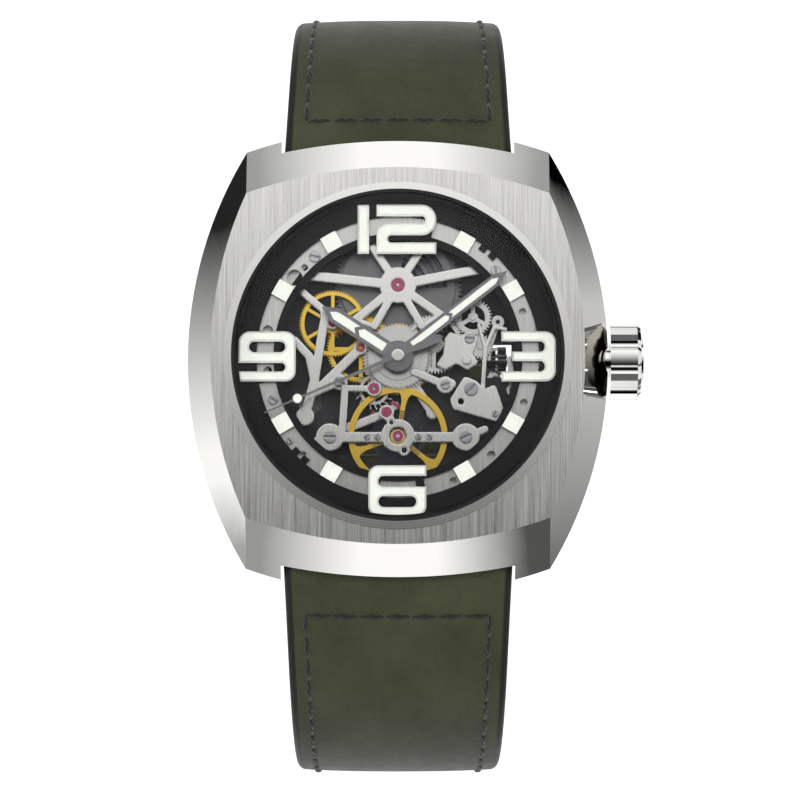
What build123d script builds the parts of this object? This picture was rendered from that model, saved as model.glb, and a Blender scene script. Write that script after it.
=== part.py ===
from build123d import *
import os
from math import atan2, cos, degrees, hypot, pi, radians, sin

os.makedirs("parts", exist_ok=True)

# An automatic skeleton wristwatch, dial up, twelve o'clock towards +Y and the crown towards +X.
# The origin is the centre of the case back's outer face, on the axis of the hands.

# ---------------------------------------------------------------- driving dimensions
LUG_WIDTH = 22.0          # strap width between the lugs
LUG_GAP = 22.4            # slot between the lugs
CASE_HALF_WIDTH = 20.2    # at the widest level, without the crown
Z_BOTTOM = 1.0            # underside of the case middle
Z_WIDE = 5.2              # level of the widest outline
Z_TOP = 10.3              # brushed top face
BAR_Y = 19.0              # spring bars at the lugs
BAR_Z = 3.4
BAR_RADIUS = 0.75
SLOT_WALL_Y = 16.45       # case wall behind the strap's end
OVERHANG_Z = 6.2          # underside of the case edge over the strap's end

CAVITY_RADIUS = 14.65
DIAL_RADIUS = 15.85
BEZEL_RADIUS = 16.6
Z_DIAL = 8.0              # underside of the dial
DIAL_THICKNESS = 0.35
Z_DIAL_TOP = Z_DIAL + DIAL_THICKNESS

STEM_Z = 4.35             # winding stem, along +X
CROWN_RADIUS = 3.82
CROWN_START = 20.35
CROWN_LENGTH = 2.95

PLATE_Z = 3.4             # mainplate
PLATE_THICKNESS = 0.5
PLATE_TOP = PLATE_Z + PLATE_THICKNESS
MOVEMENT_RADIUS = 14.2
PIVOT = 0.15              # pivot radius of the train arbors
PIVOT_HOLE = 0.2

# levels of the movement
WINDING_Z = 2.75          # underside of the crown, ratchet and click wheels
PIVOT_LOW = 3.45          # lower end of every train arbor
SHOULDER_LOW = 3.95       # shoulders that rest on the mainplate
BARREL_Z = 4.05           # underside of the barrel's teeth
THIRD_Z = 5.5             # underside of the third wheel
FOURTH_Z = 5.75           # underside of the fourth wheel
PALLET_Z = 6.05           # underside of the escape wheel and the pallet fork
CANNON_Z = 6.3            # underside of the cannon wheel
TRAIN_BRIDGE_Z = 6.6      # underside of the train bridge
SHOULDER_HIGH = 6.55      # shoulders under the train bridge
MOTION_Z = 6.6            # underside of the minute and setting wheels
BARREL_BRIDGE_Z = 6.9
PIVOT_HIGH = 6.95         # upper end of the second and third arbors
HOUR_Z = 7.06             # underside of the hour wheel
BALANCE_BRIDGE_Z = 7.3
BALANCE_BRIDGE_TOP = 7.75
HOUR_HAND_Z = 9.05
MINUTE_HAND_Z = 9.35
SECONDS_Z = 9.65          # seconds hand

# centres of the movement, in the dial plane
CENTRE = (0.0, 0.0)
BARREL = (0.0, 7.0)
SECOND = (-6.25, 3.41)
THIRD = (-3.562, 1.004)
ESCAPE = (-2.29, -3.0)
PALLET = (-1.09, -5.26)
BALANCE = (0.0, -7.5)
MINUTE_WORK = (3.45, 1.38)
SETTING = (7.2, 3.94)
SETTING_IDLER = (7.9, 1.137)
CROWN_WHEEL = (6.12, 0.0)
CLICK = (-6.3, 10.2)
ROTOR_POST_RADIUS = 0.9

# strap
SHORT_LENGTH = 75.0
LONG_LENGTH = 118.0
STATION_PITCH = 4.5       # between the sections that shape a strap half
BUCKLE_WIDTH = 18.0


# ---------------------------------------------------------------- helpers
def save(part, label):
    """Label a finished piece and write it."""
    part.label = label
    export_step(part, f"parts/{label}.step")


def at(centre, z):
    """A horizontal plane over a point of the dial."""
    return Plane(origin=(centre[0], centre[1], z))


def polar(radius, angle):
    """A point from a radius and an angle in degrees, anticlockwise from three o'clock."""
    return (radius * cos(radians(angle)), radius * sin(radians(angle)))


def clock(radius, angle):
    """A point from a radius and an angle in degrees, clockwise from twelve o'clock."""
    return polar(radius, 90 - angle)


def disc(centre, z0, z1, radius):
    """A plain cylinder between two levels."""
    with BuildPart() as cylinder:
        with BuildSketch(at(centre, z0)):
            Circle(radius)
        extrude(amount=z1 - z0)
    return cylinder.part


def tube(centre, z0, z1, outer, inner):
    """A hollow cylinder between two levels."""
    with BuildPart() as ring:
        with BuildSketch(at(centre, z0)):
            Circle(outer)
            Circle(inner, mode=Mode.SUBTRACT)
        extrude(amount=z1 - z0)
    return ring.part


def turned(outline, axis=Axis.Z):
    """A solid of revolution from (radius, height) points."""
    with BuildPart() as lathe:
        with BuildSketch(Plane.XZ):
            with BuildLine():
                Polyline(*outline, close=True)
            make_face()
        revolve(axis=axis)
    return lathe.part


def bars(z0, z1, links, bosses=(), holes=()):
    """A skeleton bridge: round-ended bars (start, end, width), bosses and holes (centre, radius)."""
    with BuildPart() as bridge:
        with BuildSketch(Plane.XY.offset(z0)):
            for start, end, width in links:
                length = hypot(end[0] - start[0], end[1] - start[1])
                angle = degrees(atan2(end[1] - start[1], end[0] - start[0]))
                middle = ((start[0] + end[0]) / 2, (start[1] + end[1]) / 2)
                with Locations(Location(middle, angle)):
                    SlotCenterToCenter(length, width)
            for centre, radius in bosses:
                with Locations(centre):
                    Circle(radius)
            for centre, radius in holes:
                with Locations(centre):
                    Circle(radius, mode=Mode.SUBTRACT)
        extrude(amount=z1 - z0)
    return bridge.part


def plate(z0, z1, outline, corner, holes=()):
    """A flat plate from an outline with rounded corners and round holes."""
    with BuildPart() as flat:
        with BuildSketch(Plane.XY.offset(z0)) as face:
            with BuildLine():
                Polyline(*outline, close=True)
            make_face()
            fillet(face.vertices(), radius=corner)
            for centre, radius in holes:
                with Locations(centre):
                    Circle(radius, mode=Mode.SUBTRACT)
        extrude(amount=z1 - z0)
    return flat.part


def gear_points(teeth, module, phase, tip_radius=None):
    """Corners of a spur gear's teeth, four to a tooth; phase is the angle of one tooth in degrees."""
    pitch_radius = teeth * module / 2
    tip = tip_radius or pitch_radius + module
    root = pitch_radius - 1.25 * module
    step = 360 / teeth
    points = []
    for tooth in range(teeth):
        middle = phase + tooth * step
        for radius, offset in ((root, -0.34), (tip, -0.11), (tip, 0.11), (root, 0.34)):
            points.append(polar(radius, middle + offset * step))
    return points


def mesh_phase(centre_a, teeth_a, phase_a, centre_b, teeth_b):
    """The phase that puts gear b's teeth in gear a's gaps."""
    towards_b = degrees(atan2(centre_b[1] - centre_a[1], centre_b[0] - centre_a[0]))
    turn = (towards_b - phase_a) * teeth_a / 360
    return towards_b + 180 + (turn - 0.5) * 360 / teeth_b


def gear(centre, z0, z1, teeth, module, phase, bore=0.0, rim=0.0, hub=0.0, spokes=0, spoke_width=0.5):
    """A spur gear; with spokes, it is pierced between its hub and its rim."""
    with BuildPart() as wheel:
        with BuildSketch(at(centre, z0)):
            with BuildLine():
                Polyline(*gear_points(teeth, module, phase), close=True)
            make_face()
            if spokes:
                Circle(rim, mode=Mode.SUBTRACT)
                Circle(hub)
                with PolarLocations(rim / 2, spokes, start_angle=90):
                    Rectangle(rim + 0.1, spoke_width)
            if bore:
                Circle(bore, mode=Mode.SUBTRACT)
        extrude(amount=z1 - z0)
    return wheel.part


def arbor(centre, z0, z1, radius, shoulder0, shoulder1):
    """A train arbor with thinner pivots outside its two shoulders."""
    with BuildPart() as axle:
        add(disc(centre, z0, z1, PIVOT))
        add(disc(centre, shoulder0, shoulder1, radius))
    return axle.part


# ---------------------------------------------------------------- case
def cushion(z, corner, side, end):
    """The cushion outline at one level: two side arcs and two end arcs between four corners."""
    x, y = corner
    with BuildSketch(Plane.XY.offset(z)) as outline:
        with BuildLine():
            ThreePointArc((x, -y), (side, 0), (x, y))
            ThreePointArc((x, y), (0, end), (-x, y))
            ThreePointArc((-x, y), (-side, 0), (-x, -y))
            ThreePointArc((-x, -y), (0, -end), (x, -y))
        make_face()
    return outline.sketch


WIDE_CORNER = (14.57, 20.1)
OVERHANG_MIDDLE = 20.97   # the case edge between the lugs, at X = 0
OVERHANG_CORNER = 19.85   # and where it meets the lugs
FAR = 30.0                # beyond the case

with BuildPart() as case_middle:
    loft([cushion(Z_WIDE, WIDE_CORNER, CASE_HALF_WIDTH, 22.6), cushion(Z_TOP, (14.45, 15.5), 17.8, 18.0)],
         ruled=True)
    loft([cushion(Z_BOTTOM, (13.9, 18.6), 19.0, 21.0), cushion(Z_WIDE, WIDE_CORNER, CASE_HALF_WIDTH, 22.6)],
         ruled=True)
    for way in (1, -1):
        half = LUG_GAP / 2
        with BuildSketch(Plane.XY.offset(Z_BOTTOM)):
            with BuildLine():
                ThreePointArc((half, way * OVERHANG_CORNER), (0, way * OVERHANG_MIDDLE),
                              (-half, way * OVERHANG_CORNER))
                Polyline((-half, way * OVERHANG_CORNER), (-half, way * FAR), (half, way * FAR),
                         (half, way * OVERHANG_CORNER))
            make_face()
        extrude(amount=Z_TOP, mode=Mode.SUBTRACT)
        with BuildSketch(Plane.XY.offset(Z_BOTTOM)):
            with Locations((0, way * (SLOT_WALL_Y + FAR) / 2)):
                Rectangle(LUG_GAP, FAR - SLOT_WALL_Y)
        extrude(amount=OVERHANG_Z - Z_BOTTOM, mode=Mode.SUBTRACT)
        with Locations(Location((0, way * BAR_Y, BAR_Z), (0, 90, 0))):
            Cylinder(0.45, LUG_GAP + 2.6, mode=Mode.SUBTRACT)
    add(disc(CENTRE, Z_BOTTOM - 1, Z_DIAL, CAVITY_RADIUS), mode=Mode.SUBTRACT)
    add(disc(CENTRE, Z_DIAL, Z_DIAL_TOP, DIAL_RADIUS + 0.05), mode=Mode.SUBTRACT)
    add(disc(CENTRE, Z_DIAL_TOP, Z_TOP + 1, BEZEL_RADIUS), mode=Mode.SUBTRACT)
    with Locations(Location((18, 0, STEM_Z), (0, 90, 0))):
        Cylinder(1.5, 10, mode=Mode.SUBTRACT)
save(case_middle.part, "case_middle")

BEZEL_STEPS = ((BEZEL_RADIUS - 0.05, 10.5), (16.3, 10.68), (16.05, 10.86))
GASKET_SEAT_Z = 9.6
bezel_outline = [(15.6, Z_DIAL_TOP), (BEZEL_RADIUS, Z_DIAL_TOP), (BEZEL_RADIUS, Z_TOP)]
for radius, height in BEZEL_STEPS:
    bezel_outline.append((radius, bezel_outline[-1][1]))
    bezel_outline.append((radius, height))
bezel_outline += [(DIAL_RADIUS, BEZEL_STEPS[-1][1]), (DIAL_RADIUS, GASKET_SEAT_Z), (15.6, GASKET_SEAT_Z)]
save(turned(bezel_outline), "bezel_ring")

CRYSTAL_RADIUS = 15.55
CRYSTAL_SEAT_Z = 9.85
CRYSTAL_EDGE_Z = 11.0
save(turned([(15.2, GASKET_SEAT_Z), (DIAL_RADIUS, GASKET_SEAT_Z), (DIAL_RADIUS, 10.8),
             (CRYSTAL_RADIUS, 10.8), (CRYSTAL_RADIUS, CRYSTAL_SEAT_Z), (15.2, CRYSTAL_SEAT_Z)]),
     "crystal_gasket")

DOME_EDGE = CRYSTAL_RADIUS - 0.25
DOME_RISE = 0.35
DOME_RADIUS = (DOME_EDGE**2 + DOME_RISE**2) / (2 * DOME_RISE)
with BuildPart() as crystal:
    add(disc(CENTRE, CRYSTAL_SEAT_Z, CRYSTAL_EDGE_Z + DOME_RISE, CRYSTAL_RADIUS))
    with Locations((0, 0, CRYSTAL_EDGE_Z + DOME_RISE - DOME_RADIUS)):
        Sphere(DOME_RADIUS, mode=Mode.INTERSECT)
save(crystal.part, "crystal")

# The screwed case back carries a display window and six key slots.
BACK_FLANGE = 16.0
WINDOW_RADIUS = 12.0
WINDOW_THICKNESS = 1.25
with BuildPart() as case_back:
    add(turned([(WINDOW_RADIUS, 0), (BACK_FLANGE - 0.4, 0), (BACK_FLANGE, 0.4), (BACK_FLANGE, Z_BOTTOM),
                (CAVITY_RADIUS, Z_BOTTOM), (CAVITY_RADIUS, 1.45), (11.6, 1.45), (11.6, WINDOW_THICKNESS),
                (WINDOW_RADIUS, WINDOW_THICKNESS)]))
    with BuildSketch():
        with PolarLocations(14.6, 6):
            Rectangle(1.6, 1.8)
    extrude(amount=0.35, mode=Mode.SUBTRACT)
save(case_back.part, "case_back")
save(disc(CENTRE, 0, WINDOW_THICKNESS, WINDOW_RADIUS), "back_crystal")

TUBE_OUTER = 1.5
TUBE_INNER = 0.72
with BuildPart() as crown_tube:
    with Locations(Location((17.85, 0, STEM_Z), (0, 90, 0))):
        Cylinder(TUBE_OUTER, 6.3)
        Cylinder(TUBE_INNER, 6.3, mode=Mode.SUBTRACT)
save(crown_tube.part, "crown_tube")

with BuildPart() as spring_bars:
    for way in (1, -1):
        with Locations(Location((0, way * BAR_Y, BAR_Z), (0, 90, 0))):
            Cylinder(BAR_RADIUS, LUG_GAP - 0.2)
            Cylinder(0.4, LUG_GAP + 2.2)
save(spring_bars.part, "spring_bars")

# ---------------------------------------------------------------- crown and winding work
FLUTES = 10
with BuildPart() as crown:
    with BuildSketch(Plane.YZ.offset(CROWN_START)) as face:
        with Locations((0, STEM_Z)):
            Circle(CROWN_RADIUS)
            with PolarLocations(CROWN_RADIUS + 0.35, FLUTES):
                Circle(0.62, mode=Mode.SUBTRACT)
    extrude(amount=CROWN_LENGTH)
    chamfer(crown.faces().sort_by(Axis.X)[-1].edges(), length=0.35)
    with Locations(Location((CROWN_START, 0, STEM_Z), (0, 90, 0))):
        Cylinder(TUBE_OUTER + 0.15, 2.4, mode=Mode.SUBTRACT)
    with Locations(Location((CROWN_START + CROWN_LENGTH + 0.1, 0, STEM_Z), (0, 90, 0))):
        Cylinder(2.4, 0.3)
    with Locations(Location((CROWN_START + 1.9, 0, STEM_Z), (0, 90, 0))):
        Cylinder(0.6, 2.2, mode=Mode.SUBTRACT)
save(crown.part, "crown")

STEM_RADIUS = 0.6
GROOVE_X = 10.75          # where the setting lever's stud rides
with BuildPart() as stem:
    for start, end, radius in ((7.3, 8.0, 0.35), (8.0, 9.5, 0.5), (9.5, 10.5, STEM_RADIUS),
                               (10.5, 11.0, 0.34), (11.0, CROWN_START + 2.9, STEM_RADIUS)):
        with Locations(Location(((start + end) / 2, 0, STEM_Z), (0, 90, 0))):
            Cylinder(radius, end - start)
save(stem.part, "stem")


def stem_gear(start, end, teeth, module, bore, phase=0.0, tip_radius=None):
    """A pinion around the stem."""
    with BuildPart() as pinion:
        with BuildSketch(Plane(origin=(start, 0, STEM_Z), x_dir=(0, 1, 0), z_dir=(1, 0, 0))):
            with BuildLine():
                Polyline(*gear_points(teeth, module, phase, tip_radius), close=True)
            make_face()
            Circle(bore, mode=Mode.SUBTRACT)
        extrude(amount=end - start)
    return pinion.part


WINDING_TEETH = 12
CROWN_WHEEL_TEETH = 36
RATCHET_TEETH = 57
WINDING_MODULE = 0.2
# A tooth of the crown wheel stands along +X, so a gap of the winding pinion points down at it.
save(stem_gear(9.6, 10.4, WINDING_TEETH, WINDING_MODULE, STEM_RADIUS + 0.05, 15.0, 1.32), "winding_pinion")

with BuildPart() as sliding_pinion:
    add(stem_gear(8.05, 8.45, 14, 0.12, 0.55))
    add(stem_gear(9.0, 9.4, 14, 0.12, 0.55))
    with Locations(Location((8.72, 0, STEM_Z), (0, 90, 0))):
        Cylinder(0.8, 0.56)
        Cylinder(0.55, 0.6, mode=Mode.SUBTRACT)
save(sliding_pinion.part, "sliding_pinion")

save(gear(CROWN_WHEEL, WINDING_Z, 3.3, CROWN_WHEEL_TEETH, WINDING_MODULE, 0.0, bore=0.45,
          rim=2.9, hub=0.9, spokes=4, spoke_width=0.7), "crown_wheel")
ratchet_phase = mesh_phase(CROWN_WHEEL, CROWN_WHEEL_TEETH, 0.0, BARREL, RATCHET_TEETH)
save(gear(BARREL, WINDING_Z, 3.1, RATCHET_TEETH, WINDING_MODULE, ratchet_phase, bore=0.8,
          rim=4.6, hub=1.5, spokes=6, spoke_width=0.8), "ratchet_wheel")
save(bars(WINDING_Z, 3.05, [(CLICK, (-5.05, 10.75), 0.5), (CLICK, (-7.3, 9.3), 0.35)],
          [(CLICK, 0.65)], [(CLICK, 0.33)]), "click")

# The setting lever's stud rides in the stem's groove.
LEVER_PIVOT = (11.0, -3.0)
with BuildPart() as setting_lever:
    add(bars(5.95, 6.2, [(LEVER_PIVOT, (GROOVE_X, 0.0), 0.55)], [(LEVER_PIVOT, 0.6)], [(LEVER_PIVOT, 0.3)]))
    add(disc((GROOVE_X, 0.0), 4.75, 6.0, 0.19))
save(setting_lever.part, "setting_lever")

YOKE_PIVOT = (9.6, 3.6)
with BuildPart() as yoke:
    add(bars(5.7, 5.95, [(YOKE_PIVOT, (8.95, 1.6), 0.5), ((8.95, 1.6), (8.72, 0.0), 0.36)],
             [(YOKE_PIVOT, 0.62)], [(YOKE_PIVOT, 0.2)]))
    add(disc((8.72, 0.0), 5.2, 5.75, 0.16))
save(yoke.part, "yoke")

# ---------------------------------------------------------------- going train
# The second wheel takes the barrel's force to the third, which drives the seconds and, with a
# seven-leaf pinion, the cannon wheel: one turn an hour, a sixtieth of the fourth wheel.
MODULE_BARREL = 0.14415
MODULE_SECOND = 0.088
MODULE_THIRD = 0.0925
MODULE_CANNON = 0.11045
MODULE_FOURTH = 0.09435
MODULE_MOTION = 0.1032
MODULE_HOUR = 0.099

second_phase = 0.0
third_pinion_phase = mesh_phase(SECOND, 72, second_phase, THIRD, 10)
third_phase = 0.0
fourth_pinion_phase = mesh_phase(THIRD, 70, third_phase, CENTRE, 10)
barrel_phase = mesh_phase(SECOND, 16, 0.0, BARREL, 84)
cannon_phase = mesh_phase(THIRD, 7, 0.0, CENTRE, 60)
escape_pinion_phase = mesh_phase(CENTRE, 72, 0.0, ESCAPE, 8)
minute_phase = mesh_phase(CENTRE, 18, 0.0, MINUTE_WORK, 54)
hour_phase = mesh_phase(MINUTE_WORK, 15, 0.0, CENTRE, 60)
setting_phase = mesh_phase(MINUTE_WORK, 54, minute_phase, SETTING, 34)
idler_phase = mesh_phase(SETTING, 34, setting_phase, SETTING_IDLER, 22)

DRUM_RADIUS = 5.5
with BuildPart() as barrel_drum:
    add(gear(BARREL, BARREL_Z, BARREL_Z + 0.3, 84, MODULE_BARREL, barrel_phase, bore=0.55))
    add(tube(BARREL, BARREL_Z + 0.3, BARREL_Z + 1.3, DRUM_RADIUS, DRUM_RADIUS - 0.35))
    with BuildSketch(at(BARREL, 5.2)):
        Circle(DRUM_RADIUS)
        for inner, outer in ((1.6, 2.9), (3.3, 4.7)):
            with PolarLocations(0, 3, start_angle=30):
                with BuildLine():
                    CenterArc((0, 0), outer, 0, 80)
                    Line(polar(outer, 80), polar(inner, 80))
                    CenterArc((0, 0), inner, 80, -80)
                    Line(polar(inner, 0), polar(outer, 0))
                make_face(mode=Mode.SUBTRACT)
        Circle(0.55, mode=Mode.SUBTRACT)
    extrude(amount=0.15)
save(barrel_drum.part, "barrel_drum")


def spiral(centre, z0, z1, start, end, turns, thickness, steps=14):
    """A flat coiled spring of rectangular wire."""
    count = int(turns * steps)
    edges = []
    for offset in (-thickness / 2, thickness / 2):
        edges.append([polar(start + (end - start) * i / count + offset, 360 * i / steps)
                      for i in range(count + 1)])
    with BuildPart() as spring:
        with BuildSketch(at(centre, z0)):
            with BuildLine():
                Spline(*edges[0])
                Line(edges[0][-1], edges[1][-1])
                Spline(*edges[1])
                Line(edges[1][0], edges[0][0])
            make_face()
        extrude(amount=z1 - z0)
    return spring.part


save(spiral(BARREL, 4.45, 5.1, 1.15, 4.95, 7, 0.14), "mainspring")
with BuildPart() as barrel_arbor:
    add(disc(BARREL, WINDING_Z - 0.1, WINDING_Z, 1.2))
    add(disc(BARREL, WINDING_Z - 0.1, 3.2, 0.8))
    add(disc(BARREL, 3.2, 4.4, 0.5))
    add(disc(BARREL, 4.4, 5.15, 1.0))
    add(disc(BARREL, 5.15, 6.8, 0.5))
    add(disc(BARREL, 6.8, 7.42, PIVOT))
save(barrel_arbor.part, "barrel_arbor")

with BuildPart() as second_wheel:
    add(gear(SECOND, 6.0, 6.18, 72, MODULE_SECOND, second_phase, rim=2.72, hub=0.95, spokes=6,
             spoke_width=0.34))
    add(gear(SECOND, 3.98, 4.42, 16, MODULE_BARREL, 0.0))
    add(arbor(SECOND, PIVOT_LOW, PIVOT_HIGH, 0.3, SHOULDER_LOW, SHOULDER_HIGH))
save(second_wheel.part, "second_wheel")

with BuildPart() as third_wheel:
    add(gear(THIRD, THIRD_Z, THIRD_Z + 0.15, 70, MODULE_THIRD, third_phase, rim=2.75, hub=0.8, spokes=4,
             spoke_width=0.4))
    add(gear(THIRD, 5.95, 6.22, 10, MODULE_SECOND, third_pinion_phase))
    add(gear(THIRD, 6.24, 6.5, 7, MODULE_CANNON, 0.0))
    add(arbor(THIRD, PIVOT_LOW, PIVOT_HIGH, PIVOT, SHOULDER_LOW, SHOULDER_HIGH))
save(third_wheel.part, "third_wheel")

with BuildPart() as fourth_wheel:
    add(gear(CENTRE, FOURTH_Z, FOURTH_Z + 0.15, 72, MODULE_FOURTH, 0.0, rim=2.9, hub=0.8,
             spokes=4, spoke_width=0.4))
    add(gear(CENTRE, 5.45, 5.7, 10, MODULE_THIRD, fourth_pinion_phase))
    add(arbor(CENTRE, PIVOT_LOW, SECONDS_Z, PIVOT, SHOULDER_LOW, 5.93))
save(fourth_wheel.part, "fourth_wheel")

ESCAPE_TEETH = 20
ESCAPE_TIP = 1.94
with BuildPart() as escape_wheel:
    with BuildSketch(at(ESCAPE, PALLET_Z)):
        with BuildLine():
            corners = []
            for tooth in range(ESCAPE_TEETH):
                base = tooth * 360 / ESCAPE_TEETH
                corners += [polar(1.42, base), polar(ESCAPE_TIP, base + 7), polar(1.88, base + 10.5),
                            polar(1.46, base + 4.5)]
            Polyline(*corners, close=True)
        make_face()
        Circle(1.12, mode=Mode.SUBTRACT)
        Circle(0.4)
        with PolarLocations(0.6, 4):
            Rectangle(1.2, 0.24)
    extrude(amount=0.15)
    add(gear(ESCAPE, 5.68, 5.95, 8, MODULE_FOURTH, escape_pinion_phase))
    add(arbor(ESCAPE, PIVOT_LOW, 7.6, 0.22, SHOULDER_LOW, 7.25))
save(escape_wheel.part, "escape_wheel")

CANNON_BORE = 0.24
with BuildPart() as cannon_pinion:
    add(gear(CENTRE, CANNON_Z, CANNON_Z + 0.15, 60, MODULE_CANNON, cannon_phase, bore=CANNON_BORE,
             rim=2.75, hub=1.1, spokes=4, spoke_width=0.5))
    add(gear(CENTRE, CANNON_Z + 0.15, 6.85, 18, MODULE_MOTION, 0.0, bore=CANNON_BORE))
    add(tube(CENTRE, CANNON_Z, 9.5, 0.5, CANNON_BORE))
save(cannon_pinion.part, "cannon_pinion")

with BuildPart() as minute_wheel:
    add(gear(MINUTE_WORK, MOTION_Z, MOTION_Z + 0.15, 54, MODULE_MOTION, minute_phase, rim=2.3, hub=0.9,
             spokes=4, spoke_width=0.4))
    add(gear(MINUTE_WORK, MOTION_Z + 0.15, 7.28, 15, MODULE_HOUR, 0.0))
    add(disc(MINUTE_WORK, PIVOT_LOW, 6.8, 0.2))
save(minute_wheel.part, "minute_wheel")

with BuildPart() as hour_wheel:
    add(gear(CENTRE, HOUR_Z, HOUR_Z + 0.18, 60, MODULE_HOUR, hour_phase, bore=0.58))
    add(tube(CENTRE, HOUR_Z, 9.2, 0.85, 0.58))
    with BuildSketch(Plane.XY.offset(HOUR_Z + 0.18)):
        Circle(2.15)
        Circle(0.58, mode=Mode.SUBTRACT)
    extrude(amount=0.06)
save(hour_wheel.part, "hour_wheel")

SETTING_WORK = (("setting_wheel", SETTING, 34, setting_phase, 1.15),
                ("intermediate_setting_wheel", SETTING_IDLER, 22, idler_phase, 0.0))
for label, centre, teeth, phase, rim in SETTING_WORK:
    with BuildPart() as idle:
        add(gear(centre, MOTION_Z, MOTION_Z + 0.15, teeth, MODULE_MOTION, phase, rim=rim, hub=0.5,
                 spokes=3 if rim else 0, spoke_width=0.4))
        add(disc(centre, 6.35, 6.95, 0.3))
    save(idle.part, label)

# ---------------------------------------------------------------- escapement and balance
STONE_RADIUS = 2.55       # the stones' middle, from the escape wheel's axis
ENTRY_ANGLE = degrees(atan2(-5.59 - ESCAPE[1], -2.37 - ESCAPE[0]))
EXIT_ANGLE = degrees(atan2(-4.67 - ESCAPE[1], 0.18 - ESCAPE[0]))


def stone_centre(angle):
    x, y = polar(STONE_RADIUS, angle)
    return (ESCAPE[0] + x, ESCAPE[1] + y)


with BuildPart() as pallet_stones:
    for angle in (ENTRY_ANGLE, EXIT_ANGLE):
        with BuildSketch(Plane.XY.offset(6.02)):
            with Locations(Location(stone_centre(angle), angle)):
                Rectangle(1.05, 0.36)
        extrude(amount=0.24)
save(pallet_stones.part, "pallet_stones")

fork_way = atan2(BALANCE[1] - PALLET[1], BALANCE[0] - PALLET[0])
fork_tip = (PALLET[0] + 1.5 * cos(fork_way), PALLET[1] + 1.5 * sin(fork_way))
with BuildPart() as pallet_fork:
    add(bars(PALLET_Z, 6.23,
             [(PALLET, stone_centre(ENTRY_ANGLE), 0.62), (PALLET, stone_centre(EXIT_ANGLE), 0.62),
              (PALLET, fork_tip, 0.34)], [(PALLET, 0.45), (fork_tip, 0.32)]))
    with BuildSketch(Plane.XY.offset(6.0)):
        for angle in (ENTRY_ANGLE, EXIT_ANGLE):
            with Locations(Location(stone_centre(angle), angle)):
                Rectangle(1.07, 0.38)
        with Locations(Location((PALLET[0] + 1.78 * cos(fork_way), PALLET[1] + 1.78 * sin(fork_way)),
                                degrees(fork_way))):
            Rectangle(0.5, 0.26)
    extrude(amount=0.3, mode=Mode.SUBTRACT)
    add(disc(PALLET, PIVOT_LOW, 6.45, PIVOT))
save(pallet_fork.part, "pallet_fork")

BALANCE_RADIUS = 4.76
with BuildPart() as balance_wheel:
    with BuildSketch(at(BALANCE, 6.6)):
        Circle(BALANCE_RADIUS)
        Circle(BALANCE_RADIUS - 0.57, mode=Mode.SUBTRACT)
        Circle(0.8)
        for angle in (80, -40, -160):
            with BuildLine(Plane.XY.rotated((0, 0, angle))):
                Polyline((0.5, 0.24), (3.3, 0.24), (3.9, 0.4), (4.3, 0.8), (4.3, -0.8), (3.9, -0.4),
                         (3.3, -0.24), (0.5, -0.24), close=True)
            make_face()
        Circle(0.3, mode=Mode.SUBTRACT)
    extrude(amount=0.34)
save(balance_wheel.part, "balance_wheel")

with BuildPart() as balance_staff:
    add(disc(BALANCE, PIVOT_LOW, 7.6, 0.12))
    add(disc(BALANCE, 5.2, 7.25, 0.3))
    add(disc(BALANCE, 6.3, 6.45, 0.9))
    add(disc((BALANCE[0] - 0.7 * cos(fork_way), BALANCE[1] - 0.7 * sin(fork_way)), 6.25, 6.35, 0.1))
    add(tube(BALANCE, 7.02, 7.2, 0.6, 0.3))
save(balance_staff.part, "balance_staff")
save(spiral(BALANCE, 7.04, 7.16, 0.68, 2.6, 9, 0.06), "hairspring")

# ---------------------------------------------------------------- plates and bridges
RING_INNER = 11.6
STEM_SLOT = 1.3
with BuildPart() as mainplate:
    add(disc(CENTRE, PLATE_Z, PLATE_TOP, MOVEMENT_RADIUS))
    add(tube(CENTRE, PLATE_Z, 5.85, MOVEMENT_RADIUS, 12.2))
    add(disc(CENTRE, 1.5, PLATE_Z, ROTOR_POST_RADIUS))
    add(disc(CLICK, WINDING_Z - 0.1, PLATE_Z, 0.3))
    add(disc(CROWN_WHEEL, WINDING_Z - 0.1, PLATE_Z, 0.4))
    add(disc(LEVER_PIVOT, PLATE_Z, 6.3, 0.27))
    add(disc(YOKE_PIVOT, PLATE_Z, 6.05, 0.17))
    add(disc(BARREL, PLATE_TOP, 5.6, 6.35), mode=Mode.SUBTRACT)
    add(disc(BARREL, PLATE_Z, 4, 0.56), mode=Mode.SUBTRACT)
    for centre in (CENTRE, SECOND, THIRD, ESCAPE, PALLET, BALANCE, MINUTE_WORK):
        add(disc(centre, PLATE_Z + 0.03, 4, PIVOT_HOLE + 0.05), mode=Mode.SUBTRACT)
    with BuildSketch(Plane.XY.offset(PLATE_Z)):
        with Locations((8.9, 0)):
            Rectangle(4.1, 3.2)
        for angle in (205, 250, 290, 335):
            with Locations(polar(9.3, angle)):
                Circle(1.2)
    extrude(amount=PLATE_THICKNESS, mode=Mode.SUBTRACT)
    with Locations(Location((12.5, 0, STEM_Z), (0, 90, 0))):
        Cylinder(0.8, 5, mode=Mode.SUBTRACT)
    with BuildSketch(Plane.XY.offset(4.0)):
        with Locations((11.8, -0.3)):
            Rectangle(1.9, 2 * STEM_SLOT)
    extrude(amount=2, mode=Mode.SUBTRACT)
save(mainplate.part, "mainplate")

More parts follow.
